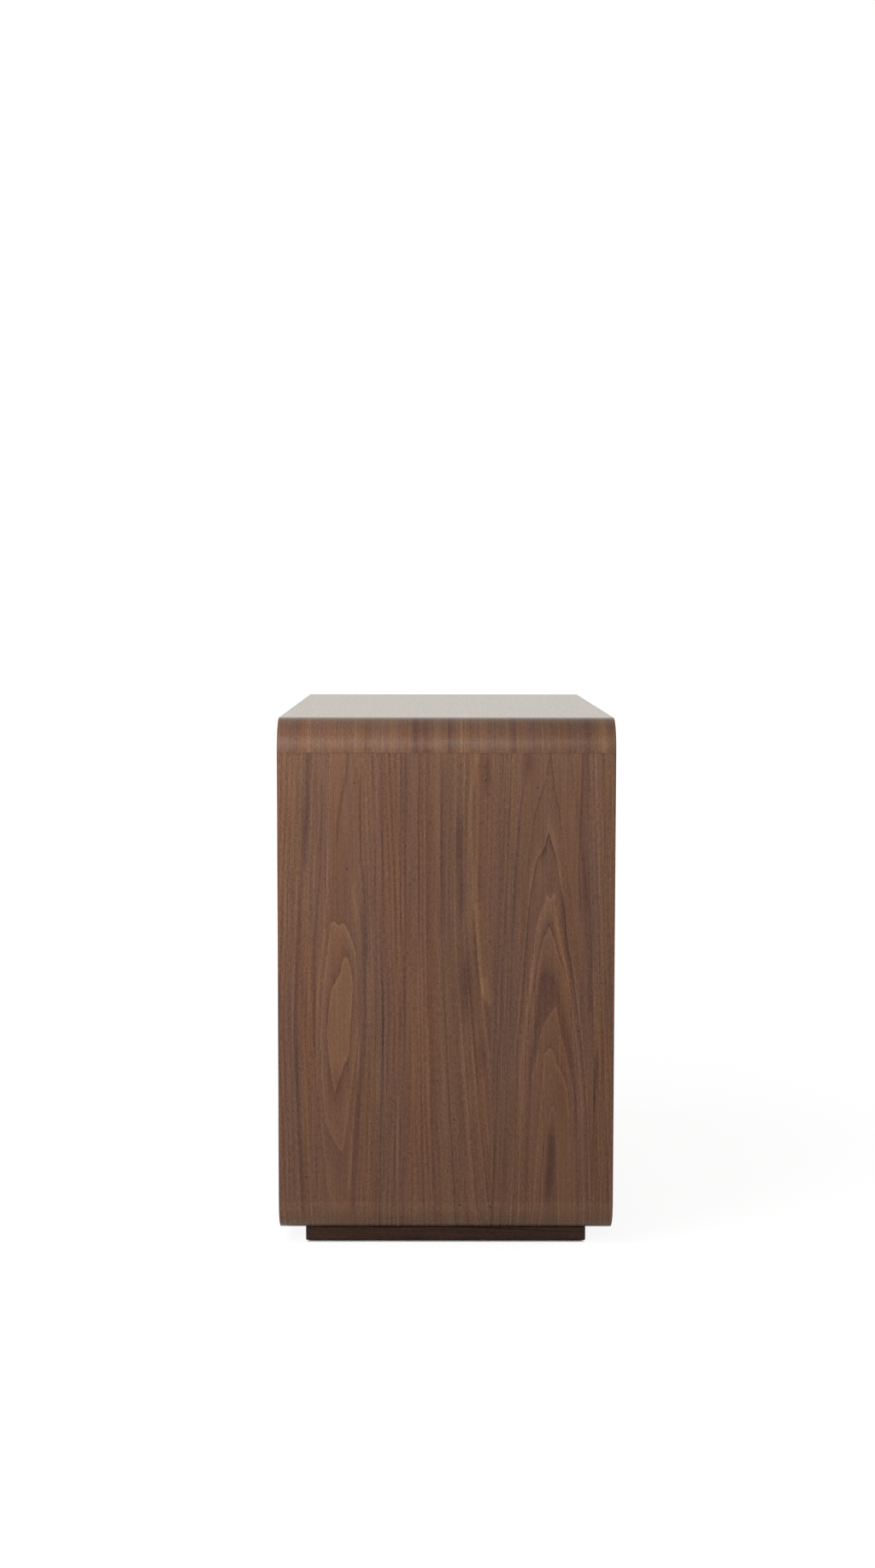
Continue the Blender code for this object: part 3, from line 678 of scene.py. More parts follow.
# Long marks of the right-hand panel: a path of (height, across), half widths to left and right, strength
END_STREAKS = (
    (((0.03, -0.209), (0.18, -0.217), (0.36, -0.221), (0.52, -0.2135), (0.66, -0.2035), (0.77, -0.2005)),
     0.0035, 0.0035, -0.14),
    (((0.56, -0.208), (0.66, -0.2015), (0.77, -0.199)), 0.004, 0.004, -0.07),
    (((0.59, -0.161), (0.64, -0.158), (0.68, -0.152), (0.7, -0.146), (0.77, -0.141)),
     0.002, 0.002, -0.17),
    (((0.28, -0.194), (0.46, -0.193), (0.5, -0.19), (0.56, -0.1845), (0.71, -0.181)),
     0.0018, 0.0018, -0.16),
    (((0.42, -0.116), (0.5, -0.118), (0.56, -0.122), (0.58, -0.125), (0.66, -0.1265), (0.72, -0.125)),
     0.0016, 0.0016, -0.2),
    (((0.03, -0.139), (0.2, -0.1305), (0.3, -0.122), (0.46, -0.12), (0.53, -0.126)), 0.005, 0.004, -0.12),
    (((0.08, -0.137), (0.2, -0.1305), (0.3, -0.123)), 0.004, 0.003, -0.04),
    (((-0.05, -0.1), (0.2, -0.096), (0.24, -0.0935), (0.54, -0.0925), (0.8, -0.0945)),
     0.0015, 0.0015, -0.2),
    (((0.28, -0.104), (0.44, -0.103), (0.6, -0.105), (0.7, -0.108), (0.77, -0.109)),
     0.0014, 0.0014, -0.1),
    (((-0.05, -0.0865), (0.8, -0.084)), 0.0014, 0.0014, -0.06),
    (((-0.05, -0.0765), (0.4, -0.0755), (0.8, -0.0735)), 0.0015, 0.0012, -0.1),
    (((-0.05, -0.0725), (0.8, -0.0705)), 0.0012, 0.0016, 0.08),
    (((-0.05, -0.068), (0.8, -0.066)), 0.0014, 0.0014, -0.12),
    (((-0.05, -0.0645), (0.24, -0.0615), (0.8, -0.06)), 0.0015, 0.0015, -0.13),
    (((0.1, -0.1775), (0.16, -0.183), (0.25, -0.19)), 0.0018, 0.0018, -0.1),
    (((0.52, -0.0415), (0.8, -0.04)), 0.0016, 0.0025, -0.07),
    (((0.46, -0.006), (0.74, -0.004)), 0.004, 0.004, -0.11),
    (((0.46, 0.043), (0.49, 0.037), (0.56, 0.038), (0.6, 0.034), (0.66, 0.033), (0.7, 0.038),
      (0.78, 0.044)),
     0.0014, 0.004, 0.11),
    (((0.37, 0.054), (0.38, 0.0505), (0.427, 0.0455), (0.46, 0.0435), (0.52, 0.039)),
     0.003, 0.0011, -0.14),
    (((-0.05, 0.069), (0.4, 0.0725), (0.58, 0.079), (0.8, 0.084)), 0.0015, 0.0015, -0.09),
    (((0.44, 0.0965), (0.54, 0.1), (0.6, 0.1035), (0.66, 0.109), (0.74, 0.121)), 0.0016, 0.0016, -0.13),
    (((-0.05, 0.084), (0.8, 0.08)), 0.015, 0.014, -0.04),
    (((0.03, 0.1095), (0.24, 0.11), (0.3, 0.113), (0.36, 0.1185), (0.42, 0.1275)), 0.0035, 0.0035, 0.03),
    (((0.38, 0.1125), (0.46, 0.1155), (0.54, 0.12)), 0.004, 0.003, -0.07),
    (((0.4, 0.185), (0.46, 0.178), (0.5, 0.173), (0.55, 0.169)), 0.005, 0.004, -0.13),
    (((0.34, 0.213), (0.42, 0.21), (0.56, 0.202), (0.66, 0.2), (0.77, 0.203)), 0.004, 0.003, -0.11),
    (((0.4, 0.2145), (0.6, 0.2065), (0.77, 0.206)), 0.0014, 0.0014, -0.16),
    (((0.48, 0.1985), (0.56, 0.194), (0.7, 0.1985), (0.77, 0.1985)), 0.0014, 0.0014, -0.2),
    (((0.4, 0.232), (0.6, 0.2235), (0.77, 0.2165)), 0.0045, 0.0045, 0.07),
    (((0.58, 0.2315), (0.77, 0.2285)), 0.0016, 0.0016, -0.11),
    (((0.28, 0.2245), (0.38, 0.219), (0.43, 0.217)), 0.0022, 0.0022, 0.12),
    (((0.2, 0.2185), (0.27, 0.221), (0.31, 0.2225)), 0.0024, 0.0024, -0.26),
    (((0.08, 0.2165), (0.24, 0.219)), 0.0014, 0.0014, -0.12),
    (((0.06, 0.149), (0.1, 0.154), (0.14, 0.157), (0.19, 0.158)), 0.01, 0.005, -0.15),
)

# Warmer and cooler parts of the right-hand panel, as dabs
END_HUES = (
    (0.228, 0.68, 0.016, 0.13, 0.1),
    (-0.205, 0.64, 0.012, 0.16, -0.2),
    (-0.12, 0.4, 0.016, 0.16, -0.15),
    (0.098, 0.32, 0.02, 0.16, -0.2),
    (0.16, 0.43, 0.03, 0.12, 0.1),
)

# The tongue's pale wedge and its tip, as long marks with sharp ends
TONGUE = (
    (((0.374, 0.06), (0.38, 0.053), (0.408, 0.0505), (0.427, 0.0475), (0.52, 0.041)), 0.0011, 0.014, 0.1),
    (((0.366, 0.061), (0.372, 0.0575), (0.38, 0.0535), (0.408, 0.0515)), 0.0011, 0.009, 0.15),
)


def edge(across, points, fall):
    """Height and slope of an edge drawn through points of (across, height).

    Past its ends the edge falls by the given slope, or climbs where that is negative.
    """
    places, heights = np.array(points).T
    past = np.maximum(places[0] - across, 0) + np.maximum(across - places[-1], 0)
    slopes = np.concatenate([[fall], np.diff(heights) / np.diff(places), [fall]])
    return np.interp(across, places, heights) - fall * past, slopes[np.searchsorted(places, across)]


def depth_in(across, height, top, foot):
    """How far a point is inside an outline, and the slope of the outline there.

    It is the lesser of how far the point is below the top edge and how far above the foot.
    """
    above, slope = edge(across, top, STEEP)
    depth = above - height
    if foot:
        below, foot_slope = edge(across, foot, -STEEP)
        slope = np.where(height - below < depth, foot_slope, slope)
        depth = np.minimum(depth, height - below)
    return depth, slope


def nested_rings(across, height, outlines, lasts):
    """Rings between nested outlines. The ring number rises by one from each outline to the next one in.

    A ring's tone turns late from the one just inside its outline to the one at the next, and dies down
    below the outline's peak. Outside the first outline rings follow it at an even step.
    """
    found = [depth_in(across, height, outline[0], outline[1]) for outline in outlines]
    depths = [depth for depth, _ in found] + [found[-1][0] - FLANK]
    ring = np.minimum(depths[0], 0) / FLANK
    tone, line = np.zeros(across.shape), np.full(across.shape, OUTER_LINE)
    gap, slope = np.full(across.shape, FLANK), found[0][1]
    for i, (top, _, near, far, clear) in enumerate(outlines):
        between = np.maximum(depths[i] - depths[i + 1], 1e-4)
        share = np.clip(depths[i] / between, 0, 1)
        within = (depths[i] > 0) & (depths[i + 1] <= 0)
        below = np.maximum(max(peak for _, peak in top) - height, 0)
        ring = ring + share
        tone = np.where(within, (near + (far - near) * share**2) * np.exp(-below / lasts), tone)
        line = np.where(within, clear * (LINE_KEEPS + (1 - LINE_KEEPS) * np.exp(-below / LINE_LASTS)), line)
        gap = np.where(within, between, gap)
        slope = np.where(within, found[i][1], slope)
    wide = np.clip(gap / np.hypot(1, slope), NARROWEST_RING, WIDEST_RING)
    return {"ring": ring, "wide": wide, "tone": tone, "line": line}


def fan_rings(across, height):
    """Upright rings that spread away from the leaf's left edge, more and more towards the foot.

    Gives the ring number and the place across where the grain line started at the top.
    """
    spread = 1 + FAN_MOST * np.clip((FAN_FROM - height) / FAN_FROM, 0, 1) ** 1.3
    started = LEAF_EDGES[0] + (across - LEAF_EDGES[0]) / spread
    return np.interp(started, FAN_RINGS, np.arange(len(FAN_RINGS))) + FAN_START, started


def streaks(across, height, marks, fade):
    """Long marks: flat-topped bell curves to either side of a path, which fade out at the path's ends."""
    total = np.zeros(across.shape)
    for path, left, right, strength in marks:
        heights, places = np.array(path).T
        away = across - np.interp(height, heights, places)
        bell = np.exp(-((away / np.where(away < 0, left, right)) ** 4))
        ends = np.minimum(height - heights[0], heights[-1] - height) / fade
        total += strength * bell * np.clip(ends, 0, 1)
    return total


def end_figure(across, height, leaf):
    """Three leaves side by side, picked by the leaf that a face lies on, with the panel's marks.

    Painted light from the floor makes the lower bend paler and cooler; a painted sheen does so at the head.
    A thin dark line of glue shows along the seam.
    """
    ring, started = fan_rings(across, height)
    fan = {"ring": ring, "wide": RING_PITCH, "tone": 0.0, "line": FAN_LINE}
    oval = nested_rings(across, height, OVALS, OVAL_LASTS)
    cathedral = nested_rings(across, height, ARCHES, ARCH_LASTS)
    cathedral["ring"] += ARCH_START
    first = np.broadcast_to(leaf < LEAF_EDGES[0], across.shape)
    second = np.broadcast_to(leaf < LEAF_EDGES[1], across.shape)
    figure = {key: np.where(first, oval[key], np.where(second, fan[key], cathedral[key])) for key in fan}
    below = BEND_LINE - height
    # Painted light from the floor below, strongest where the lower bend starts
    painted_light = np.clip(below / BEND_STEP, 0, 1) + 0.6 * np.clip(below / BEND_SPREAD, 0, 1)
    # Painted sheen, fading out down from the seam
    head = np.clip((height - SEAM_HEIGHT) / HEAD_LASTS + 1, 0, 1)
    glue = np.clip((height - SEAM_HEIGHT) / SEAM_SHOWS + 1, 0, 1)
    figure["tone"] += dabs(across, height, END_MARKS)
    figure["tone"] += streaks(across, height, END_STREAKS, STREAK_FADE)
    figure["tone"] += streaks(across, height, TONGUE, TONGUE_FADE)
    # Painted light on the lower bend and a painted sheen at the head make them paler; the glue line is
    # darker
    figure["tone"] += BEND_PAINTED_LIGHT * painted_light + HEAD_PAINTED_SHEEN * head - SEAM_SHADE * glue
    # The painted light on the lower bend and the painted sheen at the head also cool the hue there
    figure["warm"] = dabs(across, height, END_HUES) - BEND_PAINTED_COOL_LIGHT * painted_light - HEAD_PAINTED_COOL_SHEEN * head
    return dict(figure, across=np.where(second & ~first, started, across))


END_START = FLAT + QUARTER + SEAM_DROP + SEAM_GAP
END_STOP = FLAT + 2 * QUARTER + DROP + BEND_LAP


def on_right(across, along, leaf):
    return end_figure(across, TANGENT_HEIGHT - along, leaf)


def on_left(across, along, leaf):
    """The left-hand panel is laid up from the next leaves, turned over."""
    figure = end_figure(-across, TANGENT_HEIGHT + along, -leaf)
    return dict(figure, ring=figure["ring"] + LEFT_START)


for name, node, start, end, figure, along_from in (
    ("right_end_panel", "end_panel_right", END_START, END_STOP, on_right, FLAT + QUARTER),
    ("left_end_panel", "end_panel_left", -END_STOP, -END_START, on_left, -FLAT - QUARTER),
):
    panel = case_panel(name, start, end, figure, along_from, END_FACE_STEP, END_ALONG_STEP)
    finish_piece(panel, VENEER, "case", "walnut_veneer", node)

# Case bottom
# A flat veneered board between the two lower bends, of the same thickness, tongued to both end panels.

BOTTOM_START = END_STOP + SEAM_GAP
BOTTOM_STOP = 2 * HALF_ROUND - BOTTOM_START
BOTTOM_SWAY = 0.003
BOTTOM_FIRST_RING = 211
BOTTOM_TONE = -0.05


def bottom_figure(across, along, leaf):
    """Straight grain that sways a little along the board."""
    ring = (across + BOTTOM_SWAY * np.sin(3 * along)) / RING_PITCH + BOTTOM_FIRST_RING
    return {"ring": ring, "wide": RING_PITCH, "tone": BOTTOM_TONE, "across": across, "line": PLAIN_LINE}


bottom_board = case_panel("bottom_board", BOTTOM_START, BOTTOM_STOP, bottom_figure, HALF_ROUND)
finish_piece(bottom_board, VENEER, "case", "walnut_veneer", "case_bottom")

# Back panel and rails
# Thin veneered ply in the rebate, and solid walnut rails behind the finger gaps, housed in the ends.

FLAT_WITHIN = math.radians(1)
EASED_FROM = math.radians(40)
BACK_EASE = 0.0004
RAIL_EASE = 0.0010


def eased_copy(node, material, body, slot, width):
    """A solid's own shape with its triangles merged into flat faces and its arrises eased."""
    name = node + "_eased"
    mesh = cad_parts[node].data.copy()
    mesh.name = name
    work = bmesh.new()
    work.from_mesh(mesh)
    bmesh.ops.remove_doubles(work, verts=work.verts, dist=1e-5)
    bmesh.ops.dissolve_limit(work, angle_limit=FLAT_WITHIN, verts=work.verts, edges=work.edges)
    work.to_mesh(mesh)
    work.free()
    piece = place_mesh(name, mesh)
    ease = piece.modifiers.new("ease", "BEVEL")
    ease.width = width
    ease.segments = 2
    ease.limit_method = "ANGLE"
    ease.angle_limit = EASED_FROM
    ease.harden_normals = True
    finish_piece(piece, [material], body, slot, node)


BACK_WALNUT = make_plain_walnut("back_walnut", "Z", -0.02, 17.0)
RAIL_WALNUT = make_plain_walnut("rail_walnut", "X", -0.06, 41.0)
eased_copy("back_panel", BACK_WALNUT, "case", "walnut_veneer", BACK_EASE)
for rail in ("top_rail", "divider_rail_under_middle", "divider_rail_under_upper"):
    eased_copy(rail, RAIL_WALNUT, "case", "walnut_veneer", RAIL_EASE)

# Back panel screws
# Small steel countersunk screws with a cross recess, every 15 cm round the edge of the back.

SCREW_RADIUS = 0.0030
SCREW_DOME = 0.0004
SCREW_SPACING = 0.150
SCREW_EDGE = 0.0042
HEAD_RINGS = (0.02, 0.14, 0.20, 0.30, 0.50, 0.58, 0.66, 0.85, 0.96, 1.0, 1.0)
HEAD_SIDES = 24
BAR_WIDE, BAR_SOFT = 0.16, 0.05
BAR_LONG, TIP_SOFT = 0.60, 0.08
RECESS = 0.45
HEAD_SINK = 0.6


def screw_heads(name, centres, toward, radius, dome, body):
    """Round screw heads in one mesh. A head's height is a flat dome, less a cross-shaped recess.

    The recess is the deeper of two bars at right angles, each fading out at its sides and ends.
    """
    turns = np.arange(HEAD_SIDES) * 2 * math.pi / HEAD_SIDES
    reach, angle = np.meshgrid(HEAD_RINGS, turns, indexing="ij")
    right, up = reach * np.cos(angle), reach * np.sin(angle)
    bars = []
    for side, length in ((right, up), (up, right)):
        within = np.clip((BAR_WIDE - np.abs(side)) / BAR_SOFT, 0, 1)
        bars.append(within * np.clip((BAR_LONG - np.abs(length)) / TIP_SOFT, 0, 1))
    height = dome * (1 - reach**4) - RECESS * radius * np.maximum(*bars)
    height[-1] = -HEAD_SINK * radius
    toward = np.array(toward, float)
    side = np.array([0.0, 0.0, 1.0]) if abs(toward[2]) < 0.5 else np.array([1.0, 0.0, 0.0])
    other = np.cross(toward, side)
    head = radius * (right[..., None] * side + up[..., None] * other) + height[..., None] * toward
    quads, _, _, caps = wrap(head)
    places = (np.array(centres, float)[:, None] + head.reshape(-1, 3)).reshape(-1, 3)
    step = head.shape[0] * head.shape[1]
    faces = []
    for number in range(len(centres)):
        faces += (quads.reshape(-1, 4) + number * step).tolist() + (caps + number * step).tolist()
    mesh = bpy.data.meshes.new(name)
    mesh.from_pydata(places.tolist(), [], faces)
    finish_piece(place_mesh(name, mesh), [ZINC], body, "zinc_steel")


def make_zinc():
    """Bright zinc plate with faint drawing lines along the steel."""
    material, tree, shader = new_material("zinc_plate")
    lines = stretch(tree, object_place(tree), (700.0, 6.0, 700.0))
    drawn = add_node(tree, "ShaderNodeTexNoise", {"Vector": lines, "Scale": 1.0}).outputs["Fac"]
    colour = ramp(tree, drawn, ((0.3, shade_of(168, 170, 171)), (0.7, shade_of(206, 208, 208))))
    rough = pile(tree, 0.22, (drawn, 0.2))
    feed(tree, shader, {"Base Color": colour, "Roughness": rough, "Metallic": 1.0})
    return material


ZINC = make_zinc()
back_low, back_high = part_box("back_panel")


def back_screw_places():
    """Places round the panel's edge: evenly along the top and bottom, then up both sides between them."""
    x0, x1 = back_low.x + SCREW_EDGE, back_high.x - SCREW_EDGE
    z0, z1 = back_low.z + SCREW_EDGE, back_high.z - SCREW_EDGE
    inward = BEND_RADIUS
    level = np.linspace(x0 + inward, x1 - inward, round((x1 - x0 - 2 * inward) / SCREW_SPACING) + 1)
    upright = np.linspace(z0 + inward, z1 - inward, round((z1 - z0 - 2 * inward) / SCREW_SPACING) + 1)
    spots = [(x, z) for z in (z0, z1) for x in level] + [(x, z) for x in (x0, x1) for z in upright]
    return [(x, back_high.y, z) for x, z in spots]


screw_heads("back_screws", back_screw_places(), (0, 1, 0), SCREW_RADIUS, SCREW_DOME, "case")

# Plinth
# A mitred frame of dark walnut boards, set back under the case and glued up against its bottom. The outer
# lower edge is rounded over.

PLINTH_EASE = 0.0008
PLINTH_ROUND = 0.0026
PLINTH_STEP = 0.004
PLINTH_STATIONS = 61
PLINTH_RING = 0.0035
PLINTH_SWAY = 0.012
PLINTH_LINE = 0.8
PLINTH_LACQUER = 0.2
PLINTH_STAIN = (0.45, 0.43, 0.42, 1.0)
plinth_low, plinth_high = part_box("plinth_end_right")
front_low, front_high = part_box("plinth_front")
PLINTH_THICK = plinth_high.x - plinth_low.x


def make_plinth_walnut():
    """The veneer's walnut under a dark stain."""
    material, tree, shader = new_material("plinth_walnut_dark")
    wood = dress_in_walnut(tree, shader, leaf_places(tree), PLINTH_LACQUER)
    feed(tree, shader, {"Base Color": mix(tree, wood, PLINTH_STAIN)})
    return material


PLINTH_WALNUT = make_plinth_walnut()


def plinth_figure(start):
    def figure(across, along, leaf):
        """Straight grain along the board that runs out slowly through its edge."""
        ring = (across + PLINTH_SWAY * np.sin(4 * along + start)) / PLINTH_RING + start
        return {"ring": ring, "wide": PLINTH_RING, "tone": 0.0, "across": across, "line": PLINTH_LINE}

    return figure


def plinth_board(name, node, outer, half, sign, lengthwise, start):
    """A board with mitred ends: its section carried along its length, which shortens with the depth."""
    low, high = plinth_low.z, plinth_high.z
    corners = [(0, low), (PLINTH_THICK, low), (PLINTH_THICK, high), (0, high)]
    loop, travel = eased_loop(corners, (PLINTH_ROUND, PLINTH_EASE, 0, 0), PLINTH_STEP)
    share = np.linspace(-1, 1, PLINTH_STATIONS)[:, None]
    length = share * (half - loop[:, 0])
    across = np.broadcast_to(sign * (outer - loop[:, 0]), length.shape)
    height = np.broadcast_to(loop[:, 1], length.shape)
    order = [across, length, height] if lengthwise == "Y" else [length, across, height]
    board = skin(name, np.stack(order, -1), travel, share[:, 0] * half, plinth_figure(start))
    finish_piece(board, [PLINTH_WALNUT, PLINTH_WALNUT], "case", "plinth_walnut", node)


END_REACH = (plinth_high.x, plinth_high.y)
SIDE_REACH = (-front_low.y, front_high.x)
for place, sign, start in (("right", 1, 3.0), ("left", -1, 9.0)):
    plinth_board(f"plinth_board_{place}", f"plinth_end_{place}", *END_REACH, sign, "Y", start)
for place, sign, start in (("front", -1, 15.0), ("back", 1, 21.0)):
    plinth_board(f"plinth_board_{place}", f"plinth_{place}", *SIDE_REACH, sign, "X", start)

# Drawer fronts
# Inset fronts with a finger gap above each, veneered with the grain lengthwise. The rear of the top edge
# is bevelled for the fingers, and the lowest front is rounded to the case's lower bends.

DRAWERS = ("lower", "middle", "upper")
GRIP_LAND = 0.008
GRIP_HEIGHT = 0.022
FRONT_ARRIS = 0.0010
FRONT_CORNER = 0.023
FRONT_PEAKS = (-0.10, 0.070, 0.215, 0.300, 0.362, 0.420, 0.482, 0.530, 0.627, 0.705, 0.790, 0.875, 0.960)
FRONT_FLANK = 0.12
FRONT_STEP = 0.004
FRONT_SWAY = 0.010
FRONT_CORE = 0.034
ARCH_SLOPE = 1.2
ARCH_CURVE = 110
ARCH_CROWN = 0.003
ARCH_NARROWS = 0.62
FRONT_STATIONS = 75
CORNER_STATIONS = 14
FRONT_AXIS = (0.340, 0.352, 0.364)
FRONT_SHIFT = (-0.05, -0.01, 0.03)
FRONT_FIRST_RING = 100.0


def front_figure(middle, shift, start):
    def figure(across, along, leaf):
        """One wide leaf of a cathedral per front, laid lengthwise, so that long arches point along it.

        An arch falls away from its peak by the distance from a swaying axis and by that distance squared,
        with small notches that all arches share. The steps between arches widen and narrow along the front.
        """
        aside = across - middle - FRONT_SWAY * np.sin(4 * along + start)
        away = np.hypot(ARCH_NARROWS * aside, ARCH_CROWN)
        notches = 0.016 * np.sin(150 * aside + 9 * start)
        notches = notches + 0.010 * np.sin(260 * aside + 5 * along + 4 * start)
        peak = 0.42 + 0.60 * (along - shift) + ARCH_SLOPE * away + ARCH_CURVE * away**2 + notches
        peak = peak + 0.060 * np.sin(9 * peak + 2.5 * start)
        steep = np.hypot(1, ARCH_SLOPE + 2 * ARCH_CURVE * away)
        beyond = np.maximum(peak - FRONT_PEAKS[-1], 0) / FRONT_FLANK
        ring = np.interp(peak, FRONT_PEAKS, np.arange(len(FRONT_PEAKS))) + beyond + start
        return {
            "ring": ring,
            "wide": np.clip(FRONT_FLANK / steep, NARROWEST_RING, WIDEST_RING),
            "tone": 0.06 * np.sin(3.1 * ring),
            "across": across,
            "line": -0.20 - 0.40 * np.exp(-((away / FRONT_CORE) ** 2)),
        }

    return figure


def drawer_front(place, corner, figure):
    """The front's section in (Y, Z) carried along X.

    Towards each end the section draws in by the arris, and on the lowest front its lower edge climbs the
    corner's circle.
    """
    low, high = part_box(f"{place}_drawer_front")
    corners = [
        (low.y, low.z),
        (high.y, low.z),
        (high.y, high.z - GRIP_HEIGHT),
        (low.y + GRIP_LAND, high.z),
        (low.y, high.z),
    ]
    quarter = np.linspace(math.pi / 2, 0, 5)
    end_x = low.x + FRONT_ARRIS * (1 - np.sin(quarter))
    bend = low.x + FRONT_CORNER * (1 - np.cos(np.linspace(0.25, math.pi / 2, CORNER_STATIONS)))
    middle = np.linspace(low.x + FRONT_CORNER, 0, FRONT_STATIONS)[1:-1]
    half_x = np.concatenate([end_x, bend, middle])
    insets = np.concatenate([FRONT_ARRIS * (1 - np.cos(quarter)), np.zeros(len(half_x) - len(quarter))])
    x = np.concatenate([half_x, [0], -half_x[::-1]])
    insets = np.concatenate([insets, [0], insets[::-1]])
    loops = [eased_loop(corners, [FRONT_ARRIS] * 5, FRONT_STEP, inset) for inset in insets]
    section = np.stack([points for points, _ in loops])
    travel = loops[0][1]
    past = np.maximum(np.abs(x) - (high.x - FRONT_CORNER), 0)
    climb = FRONT_CORNER - np.sqrt(np.maximum(FRONT_CORNER**2 - past**2, 0)) if corner else 0 * x
    squeeze = (1 - climb / (high.z - low.z))[:, None]
    z = high.z - (high.z - section[..., 1]) * squeeze
    grid = np.stack([np.broadcast_to(x[:, None], z.shape), section[..., 0], z], -1)
    front = skin(f"{place}_front_board", grid, travel, x, figure)
    finish_piece(front, VENEER, f"{place}_drawer", "walnut_veneer", f"{place}_drawer_front")


for index, place in enumerate(DRAWERS):
    figure = front_figure(FRONT_AXIS[index], FRONT_SHIFT[index], FRONT_FIRST_RING + index)
    drawer_front(place, index == 0, figure)

# Drawer boxes
# Dovetailed birch ply round a ply bottom, oiled and left pale, screwed to the front from inside.

BIRCH_FACE = ((0.0, shade_of(176, 142, 102)), (0.5, shade_of(205, 174, 134)), (1.0, shade_of(224, 198, 160)))
BIRCH_EDGE = ((0.0, shade_of(140, 104, 68)), (1.0, shade_of(205, 172, 130)))
PLY = 0.0028
BOX_EASE = 0.0006
BOX_SCREW_RADIUS = 0.0042
BOX_SCREW_DOME = 0.0012
BOX_SCREW_ASIDE = 0.31
BOX_SCREW_HEIGHTS = (0.35, 0.75)


def make_birch(name, thick):
    """Birch ply by place: pale rotary-cut face, and stripes of the plies where the edge shows."""
    material, tree, shader = new_material(name)
    axes = dict(zip("XYZ", axes_of(tree, object_place(tree))))
    normal = add_node(tree, "ShaderNodeNewGeometry").outputs["Normal"]
    facing = dict(zip("XYZ", axes_of(tree, normal)))
    grain = "X" if thick != "X" else "Y"
    other = next(label for label in "ZYX" if label not in (thick, grain))
    plane = point(tree, axes[other], axes[grain], axes[thick])
    shade = pile(tree, 0.5, (noise(tree, plane, 9, 2.2), 0.9), (noise(tree, plane, 260, 8, 3.0), 0.5))
    ply = calc(tree, "FRACT", calc(tree, "MULTIPLY", axes[thick], 1 / PLY))
    ply = calc(tree, "PINGPONG", calc(tree, "MULTIPLY", ply, 2.0), 1.0)
    stripes = ramp(tree, calc(tree, "SMOOTH_MIN", ply, 0.8, 0.3), BIRCH_EDGE)
    on_edge = calc(tree, "LESS_THAN", calc(tree, "ABSOLUTE", facing[thick]), 0.6)
    colour = mix(tree, ramp(tree, shade, BIRCH_FACE), stripes, on_edge, "MIX")
    feed(tree, shader, {"Base Color": colour, "Roughness": 0.55})
    return material


BIRCH = {axis: make_birch(f"birch_ply_{axis.lower()}", axis) for axis in "XYZ"}
BOARDS = (("side_left", "X"), ("side_right", "X"), ("subfront", "Y"), ("back", "Y"), ("bottom", "Z"))
for place in DRAWERS:
    for board, thin in BOARDS:
        eased_copy(f"{place}_drawer_{board}", BIRCH[thin], f"{place}_drawer", "birch_ply", BOX_EASE)
    low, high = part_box(f"{place}_drawer_subfront")
    heights = [low.z + share * (high.z - low.z) for share in BOX_SCREW_HEIGHTS]
    spots = [(x, high.y, z) for x in (-BOX_SCREW_ASIDE, BOX_SCREW_ASIDE) for z in heights]
    body = f"{place}_drawer"
    screw_heads(f"{place}_front_screws", spots, (0, 1, 0), BOX_SCREW_RADIUS, BOX_SCREW_DOME, body)

# Tongues and plinth blocks
# Loose birch tongues in the four seams of the case, and glue blocks in the corners of the plinth.

CORNERS = ("front_left", "front_right", "back_left", "back_right")
TONGUE_EASE = 0.0003
BLOCK_EASE = 0.0010
for side in ("left", "right"):
    eased_copy(f"top_seam_tongue_{side}", BIRCH["X"], "case", "birch_ply", TONGUE_EASE)
    eased_copy(f"bottom_seam_tongue_{side}", BIRCH["Z"], "case", "birch_ply", TONGUE_EASE)
for corner in CORNERS:
    eased_copy(f"plinth_block_{corner}", BIRCH["Z"], "case", "birch_ply", BLOCK_EASE)

# Runners
# Zinc-plated telescopic runners of three nested members. The drawer's own member is screwed to the side
# of the box through its web.

RUNNER_STEEL = 0.0012
RUNNER_EASE = 0.00035
RUNNER_SCREWS = (0.06, 0.50, 0.92)
RUNNER_SCREW_RADIUS = 0.0036
RUNNER_SCREW_DOME = 0.0012
for place in DRAWERS:
    bodies = {"case": "case", "link": f"{place}_link_runners", "drawer": f"{place}_drawer"}
    for side, sign in (("left", -1), ("right", 1)):
        for member, body in bodies.items():
            eased_copy(f"{place}_{member}_runner_{side}", ZINC, body, "zinc_steel", RUNNER_EASE)
        low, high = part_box(f"{place}_drawer_runner_{side}")
        web = low.x + RUNNER_STEEL if sign > 0 else high.x - RUNNER_STEEL
        middle = (low.z + high.z) / 2
        spots = [(web, low.y + share * (high.y - low.y), middle) for share in RUNNER_SCREWS]
        name = f"{place}_runner_screws_{side}"
        screw_heads(name, spots, (sign, 0, 0), RUNNER_SCREW_RADIUS, RUNNER_SCREW_DOME, bodies["drawer"])

# Glides
# Black nylon buttons nailed up into the plinth blocks, which carry the dresser.

GLIDE_EASE = 0.0003
NYLON_SHADES = ((0.0, shade_of(26, 24, 23)), (1.0, shade_of(44, 41, 39)))


def make_nylon():
    """Black nylon with a slight grain."""
    material, tree, shader = new_material("black_nylon")
    grain = noise(tree, object_place(tree), 900, 900)
    colour = ramp(tree, calc(tree, "ADD", grain, 0.5), NYLON_SHADES)
    feed(tree, shader, {"Base Color": colour, "Roughness": 0.5})
    return material


NYLON = make_nylon()
for corner in CORNERS:
    eased_copy(f"glide_{corner}", NYLON, "case", "glide_nylon", GLIDE_EASE)

# Studio
# A pale floor in a white surround. Two key lamps stand on the camera's left, and fills light the other
# sides. Reflections show three panels of growing height, one behind another, above the camera. To the camera
# the floor is white, apart from a soft shadow near the dresser, and reflections show it white further off.

